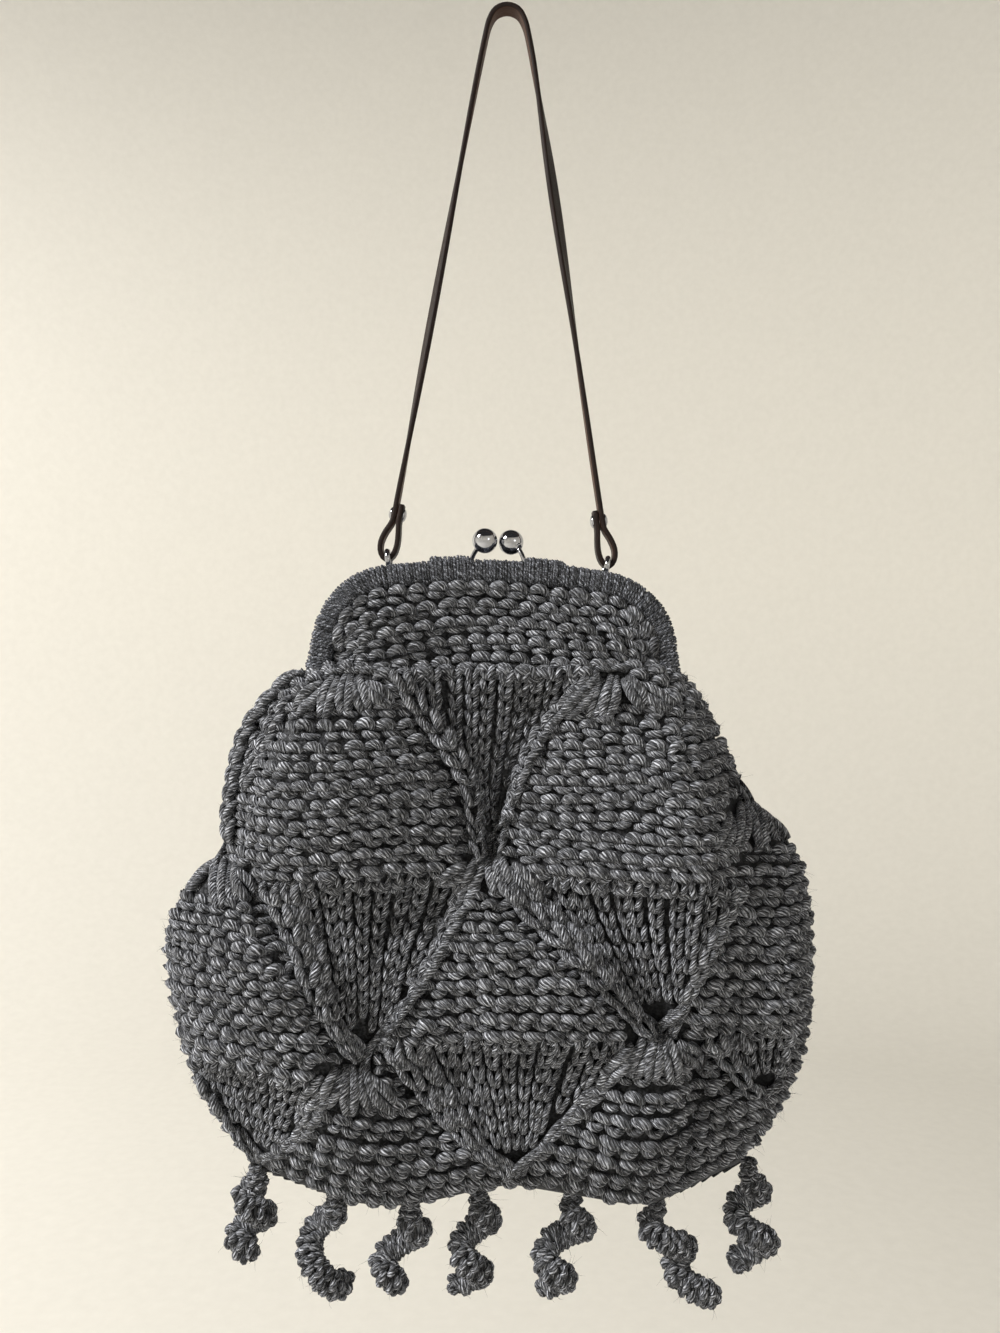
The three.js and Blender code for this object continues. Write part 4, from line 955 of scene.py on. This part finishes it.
# Strap: one flat strip, folded round a ring at each end
def strap_fold(side):
    """The ring's wire, the ways up the strap and inward, and the strap's path from its tip round the wire."""
    base, out = ring_place(side)
    wire = frame_to_world(*(base + out * (RING_HEIGHT - RING_WIRE / 2)))
    up = unit(np.array([side * HOOK_BEND_WIDTH, BACK_Y, -HOOK_BEND_DROP]) - wire)
    inward = np.array([-side * up[2], 0, side * up[0]])
    lap, loop, tip, bottom = STRAP_OVERLAP, STRAP_LOOP_RADIUS, STRAP_TIP, -(RING_HEIGHT - RING_WIRE) / 2
    stops = [
        (lap, tip), (lap, 0.8 * tip), (lap + STRAP_PINCH, 0.62 * tip),
        (0.93 * loop, 0.36 * tip), (loop, 0.13 * tip), (0.72 * loop, 0.4 * bottom), (0, bottom),
        (-0.72 * loop, 0.4 * bottom), (-loop, 0.13 * tip), (-0.72 * loop, 0.36 * tip),
        (-0.1 * loop, 0.62 * tip), (0, 0.8 * tip), (0, tip), (0, 1.5 * tip),
    ]
    return wire, up, inward, [wire + inward * across + up * height for across, height in stops]


def smooth_curve(points, count):
    """Centripetal curve through the points, read at even steps."""
    points = np.array(points, float)
    points = np.concatenate([[2 * points[0] - points[1]], points, [2 * points[-1] - points[-2]]])
    knots = np.concatenate([[0], np.cumsum(np.linalg.norm(np.diff(points, axis=0), axis=1) ** 0.5)])
    dense = []
    for i in range(1, len(points) - 2):
        p, k = points[i - 1:i + 3], knots[i - 1:i + 3]
        t = np.linspace(k[1], k[2], 40, endpoint=False)[:, None]

        def mix(a, b, low, high):
            return ((high - t) * a + (t - low) * b) / (high - low)

        a1, a2, a3 = (mix(p[m], p[m + 1], k[m], k[m + 1]) for m in range(3))
        b1, b2 = mix(a1, a2, k[0], k[2]), mix(a2, a3, k[1], k[3])
        dense.append(mix(b1, b2, k[1], k[2]))
    dense = np.concatenate(dense + [points[-2:-1]])
    run = lengths(dense)
    at = np.linspace(0, run[-1], count)
    return read_line(dense, run, at), at


def strap(material):
    bend = [(-HOOK_BEND_WIDTH, 0, -HOOK_BEND_DROP)]
    for q in HOOK_BEND_ANGLES:
        high = STRAP_THICKNESS / 2 - HOOK_BEND_RADIUS * (1 - math.cos(q))
        bend.append((HOOK_BEND_RADIUS * math.sin(q), 0, high))
    bend.append((HOOK_BEND_WIDTH, 0, -HOOK_BEND_DROP))
    path, run = smooth_curve(strap_fold(-1)[3] + bend + strap_fold(1)[3][::-1], STRAP_STEPS)
    ahead = unit(np.gradient(path, axis=0))
    half = run[-1] / 2
    place = np.clip((np.minimum(run, 2 * half - run) - FOLD_RUN) / (half - BEND_RUN - FOLD_RUN), 0, 1)
    leg = (run >= half).astype(int)
    turn = (STRAP_TWISTS[leg] * np.sin(math.pi * place ** STRAP_SKEWS[leg]) ** 2)[:, None]
    level = np.array([0.0, 1.0, 0.0])
    across = level * np.cos(turn) + np.cross(ahead, level) * np.sin(turn)
    out = np.cross(ahead, across)
    section = rounded_section(STRAP_WIDTH, STRAP_THICKNESS, STRAP_EDGE, 33)[:-1]
    rings = path[:, None] + across[:, None] * section[:, :1] + out[:, None] * section[:, 1:]
    strand = np.stack(np.broadcast_arrays(*section.T, run[:, None]), axis=-1)
    pile = Pile()
    pile.add(rings[None], strand[None])
    return pile.build("strap_leather_strip", material)


def rivet(name, side, material):
    wire, up, inward, _ = strap_fold(side)
    outer, inner = -STRAP_THICKNESS / 2 - RIVET_GAP, STRAP_OVERLAP + STRAP_THICKNESS / 2 + RIVET_GAP
    dome = [(RIVET_DOME * math.cos(q), RIVET_HEAD * math.sin(q)) for q in np.linspace(0.03, math.pi / 2, 14)]
    low = [(outer - height, radius) for height, radius in dome]
    high = [(inner + height, radius) for height, radius in dome[::-1]]
    shank = [(outer, RIVET_SHANK), (inner, RIVET_SHANK)]
    pile = Pile()
    lathe(pile, wire + up * RIVET_HEIGHT, inward, low + shank + high, 32)
    return pile.build(name, material)


# Materials. A mix node's colour sockets are told apart by number
MIX_FACTOR, MIX_A, MIX_B, MIX_RESULT = 0, 6, 7, 2


class Nodes:
    """A material with its shader, and short calls to add and join nodes."""

    def __init__(self, name):
        self.material = bpy.data.materials.new(name)
        self.material.use_nodes = True
        self.tree = self.material.node_tree
        self.shader = self.tree.nodes["Principled BSDF"]

    def feed(self, socket, value):
        """Joins another node's output to a socket, or sets a plain value on it."""
        if isinstance(value, bpy.types.NodeSocket):
            self.tree.links.new(value, socket)
        else:
            socket.default_value = value

    def node(self, kind, inputs, **settings):
        node = self.tree.nodes.new(kind)
        for key, value in settings.items():
            setattr(node, key, value)
        for key, value in inputs.items():
            self.feed(node.inputs[key], value)
        return node.outputs

    def set(self, **values):
        for key, value in values.items():
            self.feed(self.shader.inputs[key.replace("_", " ")], value)

    def math(self, operation, *values):
        return self.node("ShaderNodeMath", dict(enumerate(values)), operation=operation)[0]

    def blend(self, a, share_a, b, share_b):
        return self.math("ADD", self.math("MULTIPLY", a, share_a), self.math("MULTIPLY", b, share_b))

    def attribute(self, name, output="Fac"):
        return self.node("ShaderNodeAttribute", {}, attribute_name=name)[output]

    def split(self, vector):
        return self.node("ShaderNodeSeparateXYZ", {0: vector})

    def stretch(self, vector, scale):
        return self.node("ShaderNodeVectorMath", {0: vector, 1: scale}, operation="MULTIPLY")[0]

    def noise(self, vector, scale, detail=2.0, roughness=0.55):
        place = self.stretch(vector, scale)
        inputs = {"Vector": place, "Scale": 1.0, "Detail": detail, "Roughness": roughness}
        return self.node("ShaderNodeTexNoise", inputs)["Fac"]

    def ramp(self, factor, *stops):
        """Stops are places with a colour or with one number for a grey."""
        colour = self.node("ShaderNodeValToRGB", {"Fac": factor})["Color"]
        elements = colour.node.color_ramp.elements
        while len(elements) < len(stops):
            elements.new(0.5)
        for element, (place, value) in zip(elements, stops):
            element.position = place
            element.color = (*np.broadcast_to(value, 3), 1)
        return colour

    def mix(self, factor, a, b, blend="MIX"):
        inputs = {MIX_FACTOR: factor, MIX_A: a, MIX_B: b}
        return self.node("ShaderNodeMix", inputs, data_type="RGBA", blend_type=blend)[MIX_RESULT]

    def bump(self, height, strength, distance):
        inputs = {"Height": height, "Strength": strength, "Distance": distance}
        self.set(Normal=self.node("ShaderNodeBump", inputs)["Normal"])


def grey(value, warm=0.0):
    return (value * (0.95 + warm), value * 0.98, value * (1.07 - warm))


def yarn_material(name, dark, middle, light, plies, fibre, bump, patchy=0.35):
    """Plied wool: twisted plies, fine fibres that run with them, and light and dark flecks, with painted
    shade in the grooves between plies and where strands sink in.
    """
    m = Nodes(name)
    strand = m.attribute("strand", "Vector")
    place = m.split(strand)
    turn = m.math("ARCTAN2", place["Y"], place["X"])
    groove = m.math("MULTIPLY_ADD", m.math("COSINE", m.math("MULTIPLY", turn, plies)), 0.5, 0.5)
    fibres = m.noise(strand, (fibre, fibre, 0.4 * fibre), 3.0, 0.6)
    flecks = m.noise(strand, (0.55 * fibre, 0.55 * fibre, 0.24 * fibre), 1.0)
    colour = m.ramp(
        m.blend(fibres, 0.6, flecks, 0.4),
        (0.43, grey(dark)), (0.487, grey(middle)), (0.53, grey(1.7 * middle)), (0.60, grey(light)),
    )
    # Painted shade: the colour darkens in the grooves between the plies.
    shade = m.math("MULTIPLY", m.math("SUBTRACT", 1.0, groove), 0.8)
    shaded = m.mix(shade, colour, (*grey(0.16 * middle), 1))
    # Painted shade: darker on the inner sides and the ends of strands, by their crest value.
    deep = m.mix(1.0, shaded, m.ramp(m.attribute("crevice_shade"), (0.1, 0.16), (0.85, 1.0)), "MULTIPLY")
    tone = m.ramp(m.attribute("tone"), (0, grey(0.35)), (1, grey(1.0)))
    m.set(Base_Color=m.mix(patchy, deep, tone, "MULTIPLY"))
    m.set(Roughness=m.ramp(fibres, (0.3, 0.97), (0.8, 0.78)))
    m.bump(m.blend(groove, 0.6, fibres, 0.5), 0.9, bump * MM)
    m.set(Sheen_Weight=0.25, Sheen_Roughness=0.5, Sheen_Tint=(*grey(0.6), 1), Specular_IOR_Level=0.2)
    return m.material


def chrome_material(name, bright, worn):
    """Bright plate with faint smears and hairline scratches."""
    m = Nodes(name)
    place = m.node("ShaderNodeTexCoord", {})["Object"]
    smear = m.noise(place, (220, 220, 220), 4.0)
    colour = m.ramp(smear, (0.3, grey(0.7 * bright, 0.02)), (0.7, grey(bright, 0.01)))
    m.set(Base_Color=colour, Roughness=m.ramp(smear, (0.35, 0.08), (0.75, worn)), Metallic=1.0)
    m.bump(m.noise(place, (3000, 300, 3000)), 0.08, 0.02 * MM)
    return m.material


def leather_material():
    """Dark brown grain side, reddish flesh side and raw edges, by place across the strip."""
    m = Nodes("strap_leather_worn")
    strand = m.attribute("strand", "Vector")
    place = m.split(strand)
    pores = {"Vector": m.stretch(strand, (2.2, 2.2, 1.7)), "Scale": 1.0}
    cells = m.node("ShaderNodeTexVoronoi", pores, feature="DISTANCE_TO_EDGE")["Distance"]
    patches = m.noise(strand, (0.35, 0.35, 0.06), 4.0)
    streaks = m.noise(strand, (1.6, 2.6, 0.05), 3.0)
    grain = m.ramp(patches, (0.3, (0.007, 0.0036, 0.003)), (0.7, (0.02, 0.0105, 0.0085)))
    flesh = m.ramp(streaks, (0.3, (0.03, 0.012, 0.007)), (0.75, (0.075, 0.03, 0.016)))
    edge = m.ramp(streaks, (0.3, (0.007, 0.0034, 0.0027)), (0.8, (0.02, 0.0095, 0.007)))
    inside = m.math("LESS_THAN", place["Y"], 0.3 - STRAP_THICKNESS / 2)
    rim = m.math("GREATER_THAN", m.math("ABSOLUTE", place["X"]), STRAP_WIDTH / 2 - 0.3)
    m.set(Base_Color=m.mix(rim, m.mix(inside, grain, flesh), edge), Specular_IOR_Level=0.2)
    m.set(Roughness=m.ramp(patches, (0.3, 0.45), (0.8, 0.65)))
    m.bump(m.blend(m.math("MINIMUM", cells, 0.25), 1.0, streaks, 0.4), 0.5, 0.25 * MM)
    return m.material


def floor_material():
    m = Nodes("studio_paper")
    fine = m.noise(m.node("ShaderNodeTexCoord", {})["Object"], (60, 60, 60), 3.0)
    m.set(Base_Color=m.ramp(fine, (0.3, (0.75, 0.73, 0.68)), (0.7, (0.78, 0.76, 0.71))), Roughness=0.95)
    return m.material


# Pieces
def settle(piece, slot, *nodes):
    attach(piece, "root")
    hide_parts(*nodes)


def make_pouch(wool, shade):
    for name, side in (("front", 1), ("back", -1)):
        rows, hairs, fans = Pile(), Pile(), Pile()
        garter(rows, hairs, side)
        settle(hairs.build(f"knit_fuzz_{name}", wool), "knit_wool", "bag_body")
        settle(rows.build(f"knit_garter_{name}", wool), "knit_wool", "bag_body")
        for fan in FANS:
            fan_columns(fans, side, fan)
            fan_edges(fans, side, fan)
            crossing(fans, side, fan)
        for scale in SCALES:
            gather(fans, side, scale)
        if side > 0:
            side_chain(fans)
        settle(fans.build(f"knit_fans_{name}", wool), "knit_wool", "bag_body")
    # The wall, the lining face and the seam cord take the near-black wool: painted shade.
    wall = Pile()
    backing(wall)
    seam_edge(wall)
    settle(wall.build("knit_wall", shade), "knit_wool", "bag_body")


def make_tassels(wool):
    for k, row in enumerate(CURLS, 1):
        pile = Pile()
        curl(pile, row)
        settle(pile.build(f"tassel_{k}", wool), "tassel_wool", f"curl_{k}")


def make_frame(chrome, yarn):
    for name, rail_y, half in (("back", BACK_Y, -1), ("front", FRONT_Y, 1)):
        settle(frame_half(f"frame_metal_{name}", rail_y, half, chrome), "frame_metal", f"frame_{name}")
    for name, rail_y in (("back", BACK_Y), ("front", FRONT_Y)):
        pile = Pile()
        winding(pile, rail_y)
        settle(pile.build(f"frame_winding_{name}", yarn), "winding_yarn", f"frame_wrap_{name}")
    for pin in ("hinge_pin_left", "hinge_pin_right"):
        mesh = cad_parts[pin].data
        mesh.materials.clear()
        mesh.materials.append(chrome)


def make_strap(leather, nickel):
    settle(strap(leather), "strap_leather", "strap")
    for name, side in (("left", -1), ("right", 1)):
        settle(rivet(f"strap_rivet_dome_{name}", side, nickel), "rivet_metal", f"strap_rivet_{name}")


# Studio: a pale floor that curves up all round, soft light from the left, and the camera
def make_floor():
    profile = [(FLOOR_FLAT, 0.0)]
    for q in np.linspace(0.1, math.pi / 2, 14):
        profile.append((FLOOR_FLAT + FLOOR_BEND * math.sin(q), FLOOR_BEND * (1 - math.cos(q))))
    profile.append((FLOOR_FLAT + FLOOR_BEND, FLOOR_TOP))
    points = [(radius * math.cos(q), radius * math.sin(q), FLOOR_Z + height)
              for radius, height in profile for q in even_turns(FLOOR_SIDES)]
    (quads, _), _ = ring_faces(len(profile), FLOOR_SIDES, False)
    mesh = bpy.data.meshes.new("studio_floor")
    faces = quads[:, ::-1].tolist() + [list(range(FLOOR_SIDES))]
    mesh.from_pydata((np.array(points) * MM).tolist(), [], faces)
    mesh.shade_smooth()
    mesh.materials.append(floor_material())
    show("studio_floor", mesh)


def area_light(name, place, target, size, power, colour):
    light = bpy.data.lights.new(name, "AREA")
    light.shape = "DISK"
    light.size, light.energy, light.color = size, power, colour
    lamp = show(name, light)
    lamp.location = place
    lamp.rotation_euler = (Vector(target) - Vector(place)).to_track_quat("-Z", "Y").to_euler()


def make_lights():
    area_light("key_left", (-1.8, -0.8, 1.1), BAG_MIDDLE, 0.6, 78, (1.0, 0.98, 0.94))
    area_light("fill_right", (1.1, -1.6, 0.1), BAG_MIDDLE, 0.5, 2, (0.96, 0.98, 1.0))
    area_light("wall_left", (-1.6, 0.6, 0.4), WALL_MIDDLE, 0.8, 11, (1.0, 0.98, 0.95))
    world = bpy.data.worlds.new("studio_air")
    world.use_nodes = True
    background = world.node_tree.nodes["Background"]
    background.inputs["Color"].default_value = (1.0, 0.97, 0.92, 1)
    background.inputs["Strength"].default_value = 0.045
    scene = bpy.context.scene
    scene.world = world
    scene.view_settings.view_transform = "Standard"


def make_camera():
    data = bpy.data.cameras.new("photo_camera")
    data.sensor_fit = "VERTICAL"
    data.sensor_height = data.sensor_width = SENSOR
    data.lens = SENSOR / 2 / math.tan(CAMERA_VIEW / 2)
    data.clip_start, data.clip_end = 0.01, 50
    camera = show("photo_camera", data)
    camera.location = CAMERA_PLACE
    camera.rotation_euler = (math.pi / 2, 0, 0)
    bpy.context.scene.camera = camera


make_camera()
make_floor()
make_lights()
wool_yarn = yarn_material("knit_wool_marled", 0.012, 0.182, 0.92, 7, 1.5, 1.0, 0.4)
# Near-black wool for the wall under the stitches, the lining face and the seam cord: painted shade in the
# gaps and inside the pouch.
wool_painted_shade = yarn_material("knit_wool_inside_painted_shade", 0.01, 0.03, 0.08, 3, 1.0, 0.4)
fine_yarn = yarn_material("winding_yarn_fine", 0.014, 0.105, 0.62, 2, 2.4, 0.3, 0.8)
make_pouch(wool_yarn, wool_painted_shade)
make_tassels(wool_yarn)
make_frame(chrome_material("frame_chrome", 0.56, 0.14), fine_yarn)
make_strap(leather_material(), chrome_material("rivet_nickel", 0.5, 0.26))
